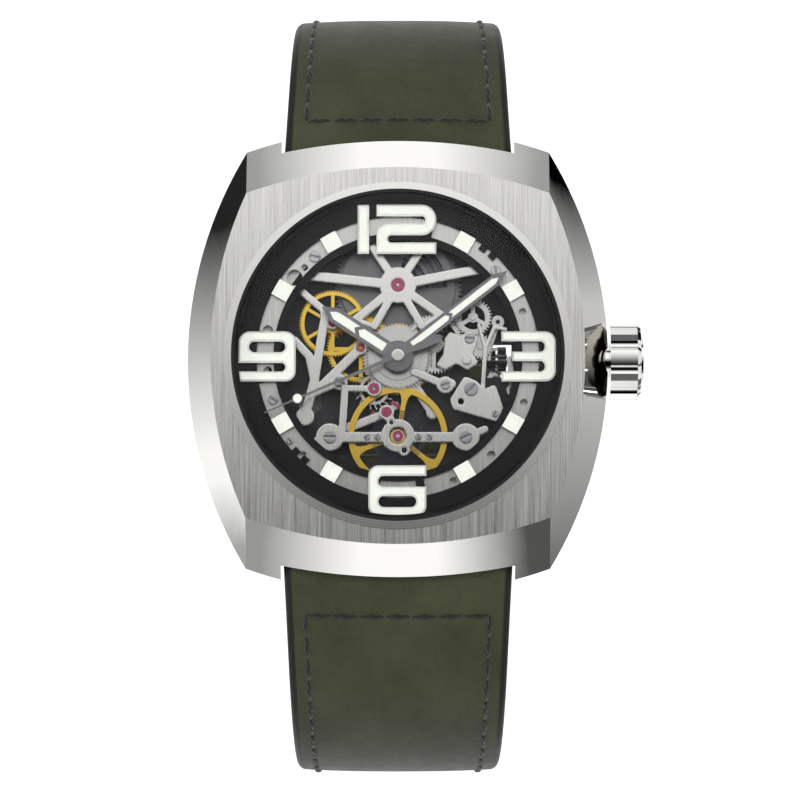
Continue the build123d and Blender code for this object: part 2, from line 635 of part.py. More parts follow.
# Ring around the movement, under the dial: (clockwise angle, radius, hole radius)
RING_HOLES = ((156, 13.0, 0.35), (264, 12.5, 0.4), (281.8, 12.7, 0.45), (307.7, 12.5, 0.75),
              (314, 12.4, 0.3), (136.5, 12.95, 0.4), (224, 13.0, 0.3), (70, 12.7, 0.35), (110, 12.8, 0.35))
with BuildPart() as movement_ring:
    add(tube(CENTRE, 5.85, 7.95, MOVEMENT_RADIUS, 12.4))
    add(tube(CENTRE, 7.5, 7.95, MOVEMENT_RADIUS, RING_INNER))
    with BuildSketch(Plane.XY.offset(7.0)):
        for angle, radius, hole in RING_HOLES:
            with Locations(clock(radius, angle)):
                Circle(hole)
    extrude(amount=1, mode=Mode.SUBTRACT)
save(movement_ring.part, "movement_ring")

ARM_ENDS = (((-8.3, 7.9), 0.95), ((7.6, 8.5), 0.95), ((-2.55, 10.9), 0.8), ((2.55, 10.9), 0.8),
            ((-4.1, 3.62), 0.85), ((-2.25, 3.05), 0.75), ((2.3, 3.05), 0.75), ((4.1, 4.1), 0.85))
with BuildPart() as barrel_bridge:
    add(bars(BARREL_BRIDGE_Z, 7.4, [(BARREL, end, width) for end, width in ARM_ENDS]
             + [((-4.1, 3.62), (-2.25, 3.05), 0.5), ((2.3, 3.05), (4.1, 4.1), 0.5)],
             [(BARREL, 1.75)], [(BARREL, 0.63)]))
    for end, width in ARM_ENDS[:2]:
        add(disc(end, PLATE_TOP, BARREL_BRIDGE_Z, width / 2))
save(barrel_bridge.part, "barrel_bridge")

TRAIN_JUNCTION = (-8.0, -2.2)
TRAIN_FOOT = (-5.6, -2.3)
with BuildPart() as train_bridge:
    add(bars(TRAIN_BRIDGE_Z, 7.0, [((-7.1, 3.4), TRAIN_JUNCTION, 0.85), ((-9.9, 1.7), (-8.5, 0.2), 0.8),
                        ((-8.5, 0.2), TRAIN_JUNCTION, 0.8), (THIRD, (-7.6, -3.0), 0.9),
                        (TRAIN_JUNCTION, (-8.9, -5.6), 0.9), ((-8.3, -3.5), TRAIN_FOOT, 0.7),
                        ((-7.1, 3.4), SECOND, 0.8), ((-9.2, 6.4), (-7.1, 4.6), 0.7),
                        ((-7.1, 4.6), (-7.1, 3.4), 0.7)],
             [(SECOND, 0.7), (THIRD, 0.68), (TRAIN_FOOT, 0.8), ((-8.9, -5.6), 0.9)],
             [(SECOND, 0.4), (THIRD, 0.4)]))
    add(disc((-8.9, -5.6), PLATE_TOP, TRAIN_BRIDGE_Z, 0.85))
    add(disc(TRAIN_JUNCTION, PLATE_TOP, TRAIN_BRIDGE_Z, 0.4))
save(train_bridge.part, "train_bridge")

BRIDGE_Y = -7.65
BRIDGE_ENDS = ((-6.5, BRIDGE_Y), (6.49, BRIDGE_Y))
LEFT_ARM = (-5.05, -2.95)
with BuildPart() as balance_bridge:
    add(bars(BALANCE_BRIDGE_Z, BALANCE_BRIDGE_TOP,
             [(BRIDGE_ENDS[0], BRIDGE_ENDS[1], 1.0), ((-5.35, -7.3), LEFT_ARM, 0.7),
              (LEFT_ARM, ESCAPE, 0.62), (BALANCE, (0.6, -8.9), 1.0), (BALANCE, PALLET, 0.85),
              (BRIDGE_ENDS[0], (-7.7, -8.0), 0.8), (BRIDGE_ENDS[1], (8.3, -6.9), 0.7)],
             [(BRIDGE_ENDS[0], 1.33), (BRIDGE_ENDS[1], 1.33), (BALANCE, 1.6), (ESCAPE, 0.75),
              (PALLET, 0.72), ((0.6, -8.9), 0.55)],
             [(BALANCE, 0.83), (ESCAPE, 0.5), (PALLET, 0.46), ((0.6, -8.9), 0.25), ((-0.62, -6.25), 0.2)]))
    for end in BRIDGE_ENDS:
        add(disc(end, PLATE_TOP, BALANCE_BRIDGE_Z, 1.1))
save(balance_bridge.part, "balance_bridge")

CENTRE_FOOT = (3.3, -5.2)
with BuildPart() as centre_bridge:
    add(bars(5.97, 6.2, [(CENTRE, CENTRE_FOOT, 0.9)], [(CENTRE, 0.85), (CENTRE_FOOT, 0.6)], [(CENTRE, 0.4)]))
    add(disc(CENTRE_FOOT, PLATE_TOP, 5.97, 0.55))
save(centre_bridge.part, "centre_bridge")

PALLET_FOOT = (-4.6, -6.6)
with BuildPart() as pallet_bridge:
    add(bars(6.33, 6.48, [(PALLET, PALLET_FOOT, 0.8)], [(PALLET, 0.6), (PALLET_FOOT, 0.5)],
             [(PALLET, PIVOT_HOLE)]))
    add(disc(PALLET_FOOT, PLATE_TOP, 6.33, 0.45))
save(pallet_bridge.part, "pallet_bridge")

# outlines of the two fingered plates by the crown
SETTING_OUTLINE = [(4.45, 1.8), (4.95, 2.5), (6.0, 2.1), (6.9, 2.62), (7.7, 1.8), (7.15, 0.4),
                   (7.7, -0.5), (6.6, -1.2), (5.6, -0.6), (4.5, -1.2), (3.62, -0.75), (4.3, 0.3)]
LEVER_OUTLINE = [(4.97, -4.0), (6.35, -1.75), (7.5, -2.2), (8.3, -3.0), (9.3, -2.5), (10.1, -4.8),
                 (9.6, -6.2), (5.3, -4.95)]
with BuildPart() as setting_plate:
    add(plate(7.32, 7.62, SETTING_OUTLINE, 0.25))
    add(disc((6.57, -0.25), 7.62, 7.72, 0.44))
save(setting_plate.part, "setting_plate")
save(bars(7.34, 7.58, [((1.5, -1.35), (4.53, -2.62), 0.75), ((4.53, -2.62), (5.1, -2.5), 0.9)],
          [((4.53, -2.62), 0.82)]), "minute_wheel_bridge")
with BuildPart() as setting_lever_spring:
    add(plate(7.0, 7.3, LEVER_OUTLINE, 0.35, [((6.03, -4.2), 0.28)]))
    add(bars(7.05, 7.25, [((8.1, -3.2), (8.35, 0.8), 0.42), ((8.35, 0.8), (7.75, 3.2), 0.34),
                          ((8.35, 0.8), (9.25, 3.0), 0.36), ((9.25, 3.0), (10.3, 2.75), 0.4)]))
save(setting_lever_spring.part, "setting_lever_spring")

# Ruby jewels: centre, lower level, upper level, outer radius, hole radius
JEWELS = ((SECOND, 6.62, 7.0, 0.4, PIVOT_HOLE), (THIRD, 6.62, 7.0, 0.4, PIVOT_HOLE),
          (CENTRE, 5.97, 6.2, 0.4, PIVOT_HOLE), (ESCAPE, 7.3, 7.8, 0.5, PIVOT_HOLE),
          (BALANCE, 7.3, 7.7, 0.5, PIVOT_HOLE), (BARREL, 6.95, 7.45, 0.63, PIVOT_HOLE),
          (PALLET, 7.35, 7.8, 0.46, 0.1))
with BuildPart() as jewels:
    for centre, low, high, outer, hole in JEWELS:
        add(tube(centre, low, high, outer, hole))
save(jewels.part, "jewels")

# Screws: centre, level under the head, head radius, head height
SCREWS = [(end, BALANCE_BRIDGE_TOP, 0.62, 0.18) for end in BRIDGE_ENDS]
SCREWS += [((x, BRIDGE_Y), BALANCE_BRIDGE_TOP, 0.33, 0.12) for x in (-2.94, -1.95, 1.95, 3.0)]
SCREWS += [(TRAIN_FOOT, 7.0, 0.52, 0.2), ((6.86, 1.83), 7.62, 0.5, 0.2), ((4.53, -2.62), 7.58, 0.48, 0.18),
           ((7.0, -3.0), 7.3, 0.67, 0.3), ((9.3, -5.4), 7.3, 0.33, 0.2)]
for angle, radius, head in ((48.5, 12.5, 0.5), (232, 13.1, 0.35), (251, 12.6, 0.5), (320.5, 12.5, 0.55)):
    SCREWS.append((clock(radius, angle), 7.95, head, 0.15))
with BuildPart() as bridge_screws:
    for index, (centre, level, head, height) in enumerate(SCREWS):
        add(disc(centre, level, level + height, head))
        with BuildSketch(at(centre, level + height / 2).rotated((0, 0, 25 * index))):
            Rectangle(2 * head + 0.1, 0.28 * head)
        extrude(amount=height, mode=Mode.SUBTRACT)
save(bridge_screws.part, "bridge_screws")

# ---------------------------------------------------------------- dial
BLOCK_ANGLES = (30, 60, 120, 150, 210, 240, 300, 330)
BLOCK_RADIUS = 12.7
with BuildPart() as dial:
    with BuildSketch(Plane.XY.offset(Z_DIAL)):
        Circle(DIAL_RADIUS)
        Circle(13.5, mode=Mode.SUBTRACT)
        Circle(11.9)
        Circle(11.2, mode=Mode.SUBTRACT)
        for angle in BLOCK_ANGLES:
            with Locations(Location(clock(BLOCK_RADIUS, angle), -angle)):
                Rectangle(1.3, 2.2)
        for x, y in ((-3.3, 12.4), (3.0, 12.4), (-2.2, -12.6), (2.2, -12.6), (-12.5, 2.0), (-12.5, -2.0),
                     (12.5, 2.0), (12.5, -2.0)):
            with Locations(Location((x, y), degrees(atan2(y, x)) - 90)):
                Rectangle(0.8, 2.4)
        for angle in (38, 43, 222, 227):
            with Locations(Location(clock(13.3, angle), -angle)):
                Rectangle(0.7, 0.7)
    extrude(amount=DIAL_THICKNESS)
save(dial.part, "dial")

with BuildPart() as hour_blocks:
    with BuildSketch(Plane.XY.offset(Z_DIAL_TOP)):
        for angle in BLOCK_ANGLES:
            with Locations(Location(clock(BLOCK_RADIUS, angle), -angle)):
                Rectangle(1.62, 1.6)
    extrude(amount=0.22)
save(hour_blocks.part, "hour_blocks")

NUMERAL_HEIGHT = 0.6
NUMERAL_CHAMFER = 0.18


def stroke_box(left, right, low, high, radii=(0, 0, 0, 0)):
    """A rectangle of a numeral; its corner radii run anticlockwise from the lower left."""
    with BuildSketch() as box:
        with Locations(((left + right) / 2, (low + high) / 2)):
            Rectangle(right - left, high - low)
        corners = [(left, low), (right, low), (right, high), (left, high)]
        for corner, radius in zip(corners, radii):
            if radius:
                point = box.vertices().sort_by_distance(corner)[0]
                fillet(point, radius=radius)
    return box.sketch


def numeral(blocks, cuts):
    """A raised numeral: outer blocks with inner slots cut away."""
    with BuildPart() as figure:
        with BuildSketch(Plane.XY.offset(Z_DIAL_TOP)):
            for block in blocks:
                add(stroke_box(*block))
            for cut in cuts:
                add(stroke_box(*cut), mode=Mode.SUBTRACT)
        extrude(amount=NUMERAL_HEIGHT)
        chamfer(figure.faces().sort_by(Axis.Z)[-1].edges(), length=NUMERAL_CHAMFER)
    return figure.part


with BuildPart() as applied_numerals:
    # one and two at twelve
    add(numeral([(-3.86, -2.75, 9.85, 14.55)], []))
    add(numeral([(-2.04, 2.0, 13.46, 14.58), (1.0, 3.67, 11.64, 14.58, (0, 1.4, 1.4, 0)),
                 (-2.04, 2.0, 9.85, 12.79, (0, 0, 0, 1.1)), (-2.04, 3.67, 9.85, 10.93)],
                [(-3.0, 2.6, 12.79, 13.46, (0, 0.3, 0.3, 0)),
                 (-0.95, 4.5, 10.93, 11.64, (0.32, 0, 0, 0.32))]))
    # three
    add(numeral([(9.87, 15.06, -2.4, 2.4, (0, 1.0, 1.0, 0))],
                [(9.0, 14.0, 0.45, 1.45, (0, 0.45, 0.45, 0)), (9.0, 14.0, -1.45, -0.45, (0, 0.45, 0.45, 0)),
                 (9.0, 10.9, -0.5, 0.5)]))
    # six
    add(numeral([(-2.82, 2.71, -15.36, -10.42, (1.1, 1.1, 0, 1.0))],
                [(-1.84, 4.0, -12.45, -11.42, (0.45, 0, 0, 0.45)),
                 (-1.84, 1.73, -14.4, -13.35, (0.5, 0.5, 0.5, 0.5))]))
    # nine
    add(numeral([(-15.2, -9.75, -2.4, 2.4, (0, 1.0, 1.0, 1.1))],
                [(-16.0, -10.75, -1.45, -0.62, (0, 0.4, 0.4, 0)),
                 (-14.2, -10.75, 0.4, 1.42, (0.5, 0.5, 0.5, 0.5))]))
save(applied_numerals.part, "applied_numerals")


# ---------------------------------------------------------------- hands
def hand(angle, level, thickness, outline, hub, hole, windows=(), dots=()):
    """A hand pointing at a clockwise angle; its outline and windows lie along +X before it is turned."""
    with BuildPart() as pointer:
        with BuildSketch(Plane.XY.offset(level).rotated((0, 0, 90 - angle))):
            with BuildLine():
                Polyline(*outline, close=True)
            make_face()
            Circle(hub)
            for centre, radius in dots:
                with Locations(centre):
                    Circle(radius)
            for window in windows:
                with BuildLine():
                    Polyline(*window, close=True)
                make_face(mode=Mode.SUBTRACT)
            if hole:
                Circle(hole, mode=Mode.SUBTRACT)
        extrude(amount=thickness)
    return pointer.part


HOUR_ANGLE = 303.1
MINUTE_ANGLE = 52.1
SECONDS_ANGLE = 246.7
save(hand(HOUR_ANGLE, HOUR_HAND_Z, 0.14,
          [(0, -0.62), (1.4, -0.75), (7.3, -0.75), (8.7, 0), (7.3, 0.75), (1.4, 0.75), (0, 0.62)],
          0.98, 0.85,
          [[(1.5, -0.42), (4.1, -0.42), (4.5, 0), (4.1, 0.42), (1.5, 0.42)],
           [(4.55, -0.42), (7.1, -0.42), (7.75, 0), (7.1, 0.42), (4.55, 0.42), (4.95, 0)]]), "hour_hand")
save(hand(MINUTE_ANGLE, MINUTE_HAND_Z, 0.13,
          [(0, -0.5), (1.6, -0.58), (11.9, -0.58), (13.25, 0), (11.9, 0.58), (1.6, 0.58), (0, 0.5)],
          0.85, 0.5,
          [[(1.7, -0.3), (5.9, -0.3), (6.2, 0), (5.9, 0.3), (1.7, 0.3)],
           [(6.3, -0.3), (11.6, -0.3), (12.2, 0), (11.6, 0.3), (6.3, 0.3), (6.6, 0)]]), "minute_hand")
save(hand(SECONDS_ANGLE, SECONDS_Z, 0.12,
          [(-4.7, 0), (-4.2, -0.38), (-2.2, -0.36), (-1.4, -0.22), (0, -0.2), (13.8, -0.07), (13.8, 0.07),
           (0, 0.2), (-1.4, 0.22), (-2.2, 0.36), (-4.2, 0.38)],
          0.62, 0, dots=[((10.4, 0), 0.5)]), "seconds_hand")

# ---------------------------------------------------------------- rotor
with BuildPart() as rotor:
    with BuildSketch(Plane.XY.offset(1.65)):
        Circle(13.8)
        with Locations((0, 7.0)):
            Rectangle(30, 14.0, mode=Mode.SUBTRACT)
        Circle(10.8, mode=Mode.SUBTRACT)
        Circle(2.2)
        for angle in (-150, -90, -30):
            with BuildLine(Plane.XY.rotated((0, 0, angle))):
                Polyline((1.5, 0.9), (11.2, 1.6), (11.2, -1.6), (1.5, -0.9), close=True)
            make_face()
        Circle(ROTOR_POST_RADIUS + 0.05, mode=Mode.SUBTRACT)
    extrude(amount=0.75)
save(rotor.part, "rotor")


# ---------------------------------------------------------------- strap
def follow(start, heading, runs, distance):
    """Point and heading (degrees, in the YZ plane) at a distance along straight runs and arcs.

    Each run is (length, turn in degrees), and a turn of zero is straight.
    """
    y, z = start
    for length, turn in runs:
        step = min(distance, length)
        swing = turn * step / length
        if turn:
            radius = length / radians(turn)
            y += radius * (sin(radians(heading + swing)) - sin(radians(heading)))
            z -= radius * (cos(radians(heading + swing)) - cos(radians(heading)))
        else:
            y += step * cos(radians(heading))
            z += step * sin(radians(heading))
        heading += swing
        distance -= step
        if distance <= 0:
            break
    return (y, z), heading


def arc(radius, turn):
    """A run along an arc."""
    return (radius * radians(abs(turn)), turn)


# The buckle half curls in under the case; the other half curls down and its tail lies flat below.
SHORT_HEADING = -30
LONG_HEADING = 210
SHORT_RUNS = [(8.0, 0), arc(16.9, -60), arc(16.5, -92), (60.0, 0)]
LONG_RUNS = [(10.0, 0), arc(19.7, 60), arc(60.0, 15), arc(22.6, 75), (90.0, 0)]


def short_frame(distance):
    """Plane across the buckle half: x across the strap, y along it, z out of its outer face."""
    (y, z), heading = follow((BAR_Y, BAR_Z), SHORT_HEADING, SHORT_RUNS, distance)
    out = (0, -sin(radians(heading)), cos(radians(heading)))
    return Plane(origin=(0, y, z), x_dir=(1, 0, 0), z_dir=out)


def long_frame(distance):
    """Plane across the tail half, as for the buckle half."""
    (y, z), heading = follow((-BAR_Y, BAR_Z), LONG_HEADING, LONG_RUNS, distance)
    out = (0, sin(radians(heading)), -cos(radians(heading)))
    return Plane(origin=(0, y, z), x_dir=(-1, 0, 0), z_dir=out)


def taper(distance, start, end, length):
    """A size that changes evenly from start to end over a length, and then stays."""
    return start + (end - start) * min(distance / length, 1)


def strap_half(frame, length, width, thickness):
    """A strap lofted through evenly spaced, rounded sections along its frame."""
    count = round(length / STATION_PITCH)
    with BuildPart() as leather:
        for index in range(count + 1):
            distance = length * index / count
            across = frame(distance)
            section = Plane(origin=across.origin, x_dir=across.x_dir, z_dir=across.y_dir)
            with BuildSketch(section):
                RectangleRounded(width(distance), thickness(distance), 0.4 * thickness(distance))
        loft()
    return leather.part


def short_width(distance):
    return taper(distance, LUG_WIDTH, BUCKLE_WIDTH, 52)


def short_thickness(distance):
    return taper(distance, 4.4, 2.4, 48)


def long_width(distance):
    return taper(distance, LUG_WIDTH, BUCKLE_WIDTH, 60)


def long_thickness(distance):
    return taper(distance, 4.4, 2.2, 70)


LOBE_RADIUS = 2.2
BUCKLE_LOBE = 1.75
TONGUE_SLOT = 3.0
with BuildPart() as strap_short:
    add(strap_half(short_frame, SHORT_LENGTH - 0.8, short_width, short_thickness))
    with Locations(Location((0, BAR_Y, BAR_Z), (0, 90, 0))):
        Cylinder(LOBE_RADIUS, LUG_WIDTH)
        Cylinder(BAR_RADIUS + 0.05, LUG_WIDTH + 1, mode=Mode.SUBTRACT)
    buckle_axis = short_frame(SHORT_LENGTH)
    with Locations(buckle_axis * Location((0, 0, 0), (0, 90, 0))):
        Cylinder(BUCKLE_LOBE, BUCKLE_WIDTH)
        Cylinder(BAR_RADIUS, BUCKLE_WIDTH + 1, mode=Mode.SUBTRACT)
    with Locations(buckle_axis * Location((0, -0.6, 0))):
        Box(TONGUE_SLOT, 5.2, 6, mode=Mode.SUBTRACT)
save(strap_short.part, "strap_short")

HOLE_PITCH = 6.5
TIP_LENGTH = 10.0
with BuildPart() as strap_long:
    add(strap_half(long_frame, LONG_LENGTH, long_width, long_thickness))
    with BuildSketch(long_frame(LONG_LENGTH - TIP_LENGTH)):
        with BuildLine():
            ThreePointArc((-9.0, 0), (-6.7, 6.3), (0, TIP_LENGTH))
            ThreePointArc((0, TIP_LENGTH), (6.7, 6.3), (9.0, 0))
            Polyline((9.0, 0), (14, 0), (14, 14), (-14, 14), (-14, 0), (-9.0, 0))
        make_face()
    extrude(amount=4, both=True, mode=Mode.SUBTRACT)
    with Locations(Location((0, -BAR_Y, BAR_Z), (0, 90, 0))):
        Cylinder(LOBE_RADIUS, LUG_WIDTH)
        Cylinder(BAR_RADIUS + 0.05, LUG_WIDTH + 1, mode=Mode.SUBTRACT)
    for index in range(6):
        with Locations(long_frame(LONG_LENGTH - 22 - index * HOLE_PITCH).location):
            Cylinder(0.9, 8, mode=Mode.SUBTRACT)
save(strap_long.part, "strap_long")


def keeper(distance, gap, width):
    """A leather loop around the buckle half, with room for the tail on its outer side."""
    inner_width = BUCKLE_WIDTH + 1.0 + 2 * gap
    low = -1.2 - gap
    high = 1.2 + 2.9
    wall = 1.0
    middle = short_frame(distance)
    across = Plane(origin=middle.origin, x_dir=middle.x_dir, z_dir=middle.y_dir)
    out = 1 if across.y_dir.dot(middle.z_dir) > 0 else -1
    with BuildPart() as loop:
        with BuildSketch(across):
            with Locations((0, out * (low + high) / 2)):
                RectangleRounded(inner_width + 2 * wall, high - low + 2 * wall, 1.2)
                RectangleRounded(inner_width, high - low, 0.5, mode=Mode.SUBTRACT)
        extrude(amount=width / 2, both=True)
    return loop.part


save(keeper(68.6, 0.15, 4.6), "keeper_fixed")
save(keeper(60.6, 0.2, 5.0), "keeper_sliding")

# ---------------------------------------------------------------- buckle
FRAME_INNER = BUCKLE_WIDTH + 0.6
FRAME_REACH = 12.4
FRAME_THICKNESS = 2.0
with BuildPart() as buckle_bar:
    with Locations(buckle_axis * Location((0, 0, 0), (0, 90, 0))):
        Cylinder(BAR_RADIUS, FRAME_INNER + 3.4)
save(buckle_bar.part, "buckle_bar")

frame_base = Plane(origin=buckle_axis.origin - buckle_axis.z_dir * FRAME_THICKNESS / 2,
                   x_dir=buckle_axis.x_dir, z_dir=buckle_axis.z_dir)
with BuildPart() as buckle_frame:
    with BuildSketch(frame_base):
        with Locations((0, FRAME_REACH / 2 - 0.85)):
            RectangleRounded(FRAME_INNER + 4.6, FRAME_REACH + 1.7, 1.4)
        with Locations((0, FRAME_REACH / 2 - 2.1)):
            Rectangle(FRAME_INNER, FRAME_REACH + 0.1, mode=Mode.SUBTRACT)
    extrude(amount=FRAME_THICKNESS)
    with Locations(buckle_axis * Location((0, 0, 0), (0, 90, 0))):
        Cylinder(BAR_RADIUS + 0.05, FRAME_INNER + 10, mode=Mode.SUBTRACT)
save(buckle_frame.part, "buckle_frame")

TONGUE_WIDTH = 2.3
side = Plane(origin=buckle_axis.origin - buckle_axis.x_dir * TONGUE_WIDTH / 2,
             x_dir=buckle_axis.y_dir, z_dir=buckle_axis.x_dir)
with BuildPart() as buckle_tongue:
    with BuildSketch(side):
        Circle(1.45)
        with BuildLine():
            Polyline((0, 0.5), (4.2, 1.05), (12.9, 1.07), (13.2, 1.5), (12.5, 1.95), (4.0, 2.0), (0, 1.45),
                     close=True)
        make_face()
        Circle(BAR_RADIUS + 0.05, mode=Mode.SUBTRACT)
    extrude(amount=TONGUE_WIDTH)
save(buckle_tongue.part, "buckle_tongue")
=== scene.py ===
from math import cos, pi, radians, sin

import bmesh
import bpy
from mathutils import Matrix, Vector


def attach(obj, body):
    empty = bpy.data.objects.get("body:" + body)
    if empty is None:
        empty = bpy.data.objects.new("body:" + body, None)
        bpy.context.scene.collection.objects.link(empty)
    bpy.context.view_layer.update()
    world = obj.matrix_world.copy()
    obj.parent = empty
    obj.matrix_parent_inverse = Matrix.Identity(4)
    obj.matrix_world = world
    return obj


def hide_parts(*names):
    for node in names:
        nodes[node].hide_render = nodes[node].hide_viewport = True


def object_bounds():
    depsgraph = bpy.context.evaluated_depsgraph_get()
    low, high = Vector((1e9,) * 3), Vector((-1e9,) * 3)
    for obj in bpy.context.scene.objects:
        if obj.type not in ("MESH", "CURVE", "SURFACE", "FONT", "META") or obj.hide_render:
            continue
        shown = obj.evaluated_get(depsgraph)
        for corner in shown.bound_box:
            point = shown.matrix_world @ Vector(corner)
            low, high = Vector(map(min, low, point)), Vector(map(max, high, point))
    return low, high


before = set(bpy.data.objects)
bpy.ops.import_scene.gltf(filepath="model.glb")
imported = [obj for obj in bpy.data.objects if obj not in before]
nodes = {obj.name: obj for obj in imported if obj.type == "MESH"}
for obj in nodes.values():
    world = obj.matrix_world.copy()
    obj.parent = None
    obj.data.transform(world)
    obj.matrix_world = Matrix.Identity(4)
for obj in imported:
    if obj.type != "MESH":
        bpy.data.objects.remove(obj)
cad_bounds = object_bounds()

MM = 0.001
scene = bpy.context.scene


def link(name, data):
    """A new object in the scene."""
    piece = bpy.data.objects.new(name, data)
    scene.collection.objects.link(piece)
    return piece


def srgb(red, green, blue):
    """A linear colour from display values between 0 and 255."""
    def linear(value):
        value /= 255
        return value / 12.92 if value < 0.04045 else ((value + 0.055) / 1.055) ** 2.4
    return (linear(red), linear(green), linear(blue), 1.0)


def toned(colour, share):
    """A colour made darker or lighter by a share."""
    return tuple(min(1, part * share) for part in colour[:3]) + (1.0,)


# ---------------------------------------------------------------- camera
AIM = Vector((0.2, -4.2, 9.0)) * MM
VIEW_ELEVATION = 85.0
VIEW_DISTANCE = 430.0 * MM
camera_data = bpy.data.cameras.new("camera")
camera_data.lens = 203.2
camera_data.sensor_width = 36.0
camera_data.clip_start = 0.01
camera = link("camera", camera_data)
toward = Vector((0, -cos(radians(VIEW_ELEVATION)), sin(radians(VIEW_ELEVATION))))
camera.location = AIM + toward * VIEW_DISTANCE
camera.rotation_euler = (radians(90 - VIEW_ELEVATION), 0, 0)
scene.camera = camera


# ---------------------------------------------------------------- material helpers
MIX_FIRST = 6             # the colour sockets of a Mix node, which share their names with its other sockets
MIX_SECOND = 7
MIX_RESULT = 2
BEVEL_SAMPLES = 6


class Nodes:
    """A material's node tree, with short calls to add and join nodes."""

    def __init__(self, name):
        self.material = bpy.data.materials.new(name)
        self.material.use_nodes = True
        self.tree = self.material.node_tree
        self.shader = self.tree.nodes["Principled BSDF"]
        self.output = self.tree.nodes["Material Output"]
        self.place = self.add("ShaderNodeTexCoord").outputs["Object"]

    def add(self, kind, **settings):
        node = self.tree.nodes.new(kind)
        for key, value in settings.items():
            setattr(node, key, value)
        return node

    def put(self, value, socket):
        """Joins another node's output to a socket, or sets the socket to a plain value."""
        if hasattr(value, "links"):
            self.tree.links.new(value, socket)
        else:
            socket.default_value = value

    def set(self, **values):
        """Fills the shader's sockets, whose names have _ for a space."""
        for key, value in values.items():
            self.put(value, self.shader.inputs[key.replace("_", " ")])

    def scaled(self, scale):
        """The object's coordinates, stretched along each axis."""
        mapping = self.add("ShaderNodeMapping")
        mapping.inputs["Scale"].default_value = scale
        self.put(self.place, mapping.inputs["Vector"])
        return mapping.outputs["Vector"]

    def noise(self, vector, scale, detail=4.0, roughness=0.55):
        node = self.add("ShaderNodeTexNoise")
        node.inputs["Scale"].default_value = scale
        node.inputs["Detail"].default_value = detail
        node.inputs["Roughness"].default_value = roughness
        self.put(vector, node.inputs["Vector"])
        return node.outputs["Fac"]

    def voronoi(self, vector, scale, feature="F1"):
        node = self.add("ShaderNodeTexVoronoi", feature=feature)
        node.inputs["Scale"].default_value = scale
        self.put(vector, node.inputs["Vector"])
        return node.outputs["Distance"]

    def ramp(self, value, low, high, start=0.0, end=1.0):
        """Runs from low to high while the value runs from start to end, and stops there."""
        node = self.add("ShaderNodeMapRange")
        node.inputs["From Min"].default_value = start
        node.inputs["From Max"].default_value = end
        node.inputs["To Min"].default_value = low
        node.inputs["To Max"].default_value = high
        self.put(value, node.inputs["Value"])
        return node.outputs["Result"]

    def colours(self, factor, first, second, blend="MIX"):
        node = self.add("ShaderNodeMix", data_type="RGBA", blend_type=blend)
        self.put(factor, node.inputs["Factor"])
        self.put(first, node.inputs[MIX_FIRST])
        self.put(second, node.inputs[MIX_SECOND])
        return node.outputs[MIX_RESULT]

    def maths(self, operation, first, second=0.0):
        node = self.add("ShaderNodeMath", operation=operation)
        self.put(first, node.inputs[0])
        self.put(second, node.inputs[1])
        return node.outputs["Value"]

    def axis(self, vector, name):
        """One axis of a vector."""
        parts = self.add("ShaderNodeSeparateXYZ")
        self.put(vector, parts.inputs[0])
        return parts.outputs[name]

    def bump(self, height, strength, depth):
        """Adds relief on top of the relief that is there already; its depth is in metres."""
        node = self.add("ShaderNodeBump")
        node.inputs["Strength"].default_value = strength
        node.inputs["Distance"].default_value = depth
        self.put(height, node.inputs["Height"])
        for earlier in self.shader.inputs["Normal"].links:
            self.put(earlier.from_socket, node.inputs["Normal"])
        self.set(Normal=node.outputs["Normal"])

    def soft_edges(self, radius):
        """Shades sharp edges as if they had a small polished round."""
        node = self.add("ShaderNodeBevel", samples=BEVEL_SAMPLES)
        node.inputs["Radius"].default_value = radius
        self.set(Normal=node.outputs["Normal"])

    def upward(self, start, end):
        """One on faces that look along Z, zero on the others."""
        normal = self.add("ShaderNodeNewGeometry").outputs["Normal"]
        return self.ramp(self.maths("ABSOLUTE", self.axis(normal, "Z")), 0.0, 1.0, start, end)


# ---------------------------------------------------------------- materials
BRUSH_ALONG = 20          # how tightly brush lines are packed along their length and across it
BRUSH_ACROSS = 1400
PEBBLES = 5200            # the scale of the leather's pebbled grain


def polished(name, colour, rough=0.06, smudge=0.05, soft=0.0):
    """Polished metal with faint wiping marks."""
    m = Nodes(name)
    if soft:
        m.soft_edges(soft)
    wipe = m.noise(m.place, scale=180, detail=5)
    m.set(Base_Color=colour, Metallic=1.0, Roughness=m.ramp(wipe, rough, rough + smudge))
    m.bump(m.noise(m.place, scale=900, detail=2), strength=0.03, depth=0.00002)
    return m.material


def brushed(name, colour, along="y", rough=0.3, edge_rough=0.1, grain=1.0, tint=0.75, soft=0.0):
    """Metal brushed along one direction on its flat faces, and polished on its edges."""
    m = Nodes(name)
    if soft:
        m.soft_edges(soft)
    stretch = [BRUSH_ALONG if axis == along else BRUSH_ACROSS for axis in "xyz"]
    lines = m.ramp(m.noise(m.scaled(stretch), scale=5, detail=3, roughness=0.6), 0.0, 1.0, start=0.3, end=0.7)
    flat = m.upward(0.9, 0.99)
    edges = m.ramp(flat, 1.0, 0.0)
    brushed_rough = m.maths("MULTIPLY", m.ramp(lines, rough * 0.75, rough * 1.25), flat)
    polished_rough = m.maths("MULTIPLY", edges, edge_rough)
    m.set(Base_Color=m.colours(m.maths("MAXIMUM", lines, edges), toned(colour, tint), colour), Metallic=1.0,
          Roughness=m.maths("ADD", brushed_rough, polished_rough))
    m.bump(m.maths("MULTIPLY", lines, flat), strength=0.25 * grain, depth=0.00003)
    return m.material


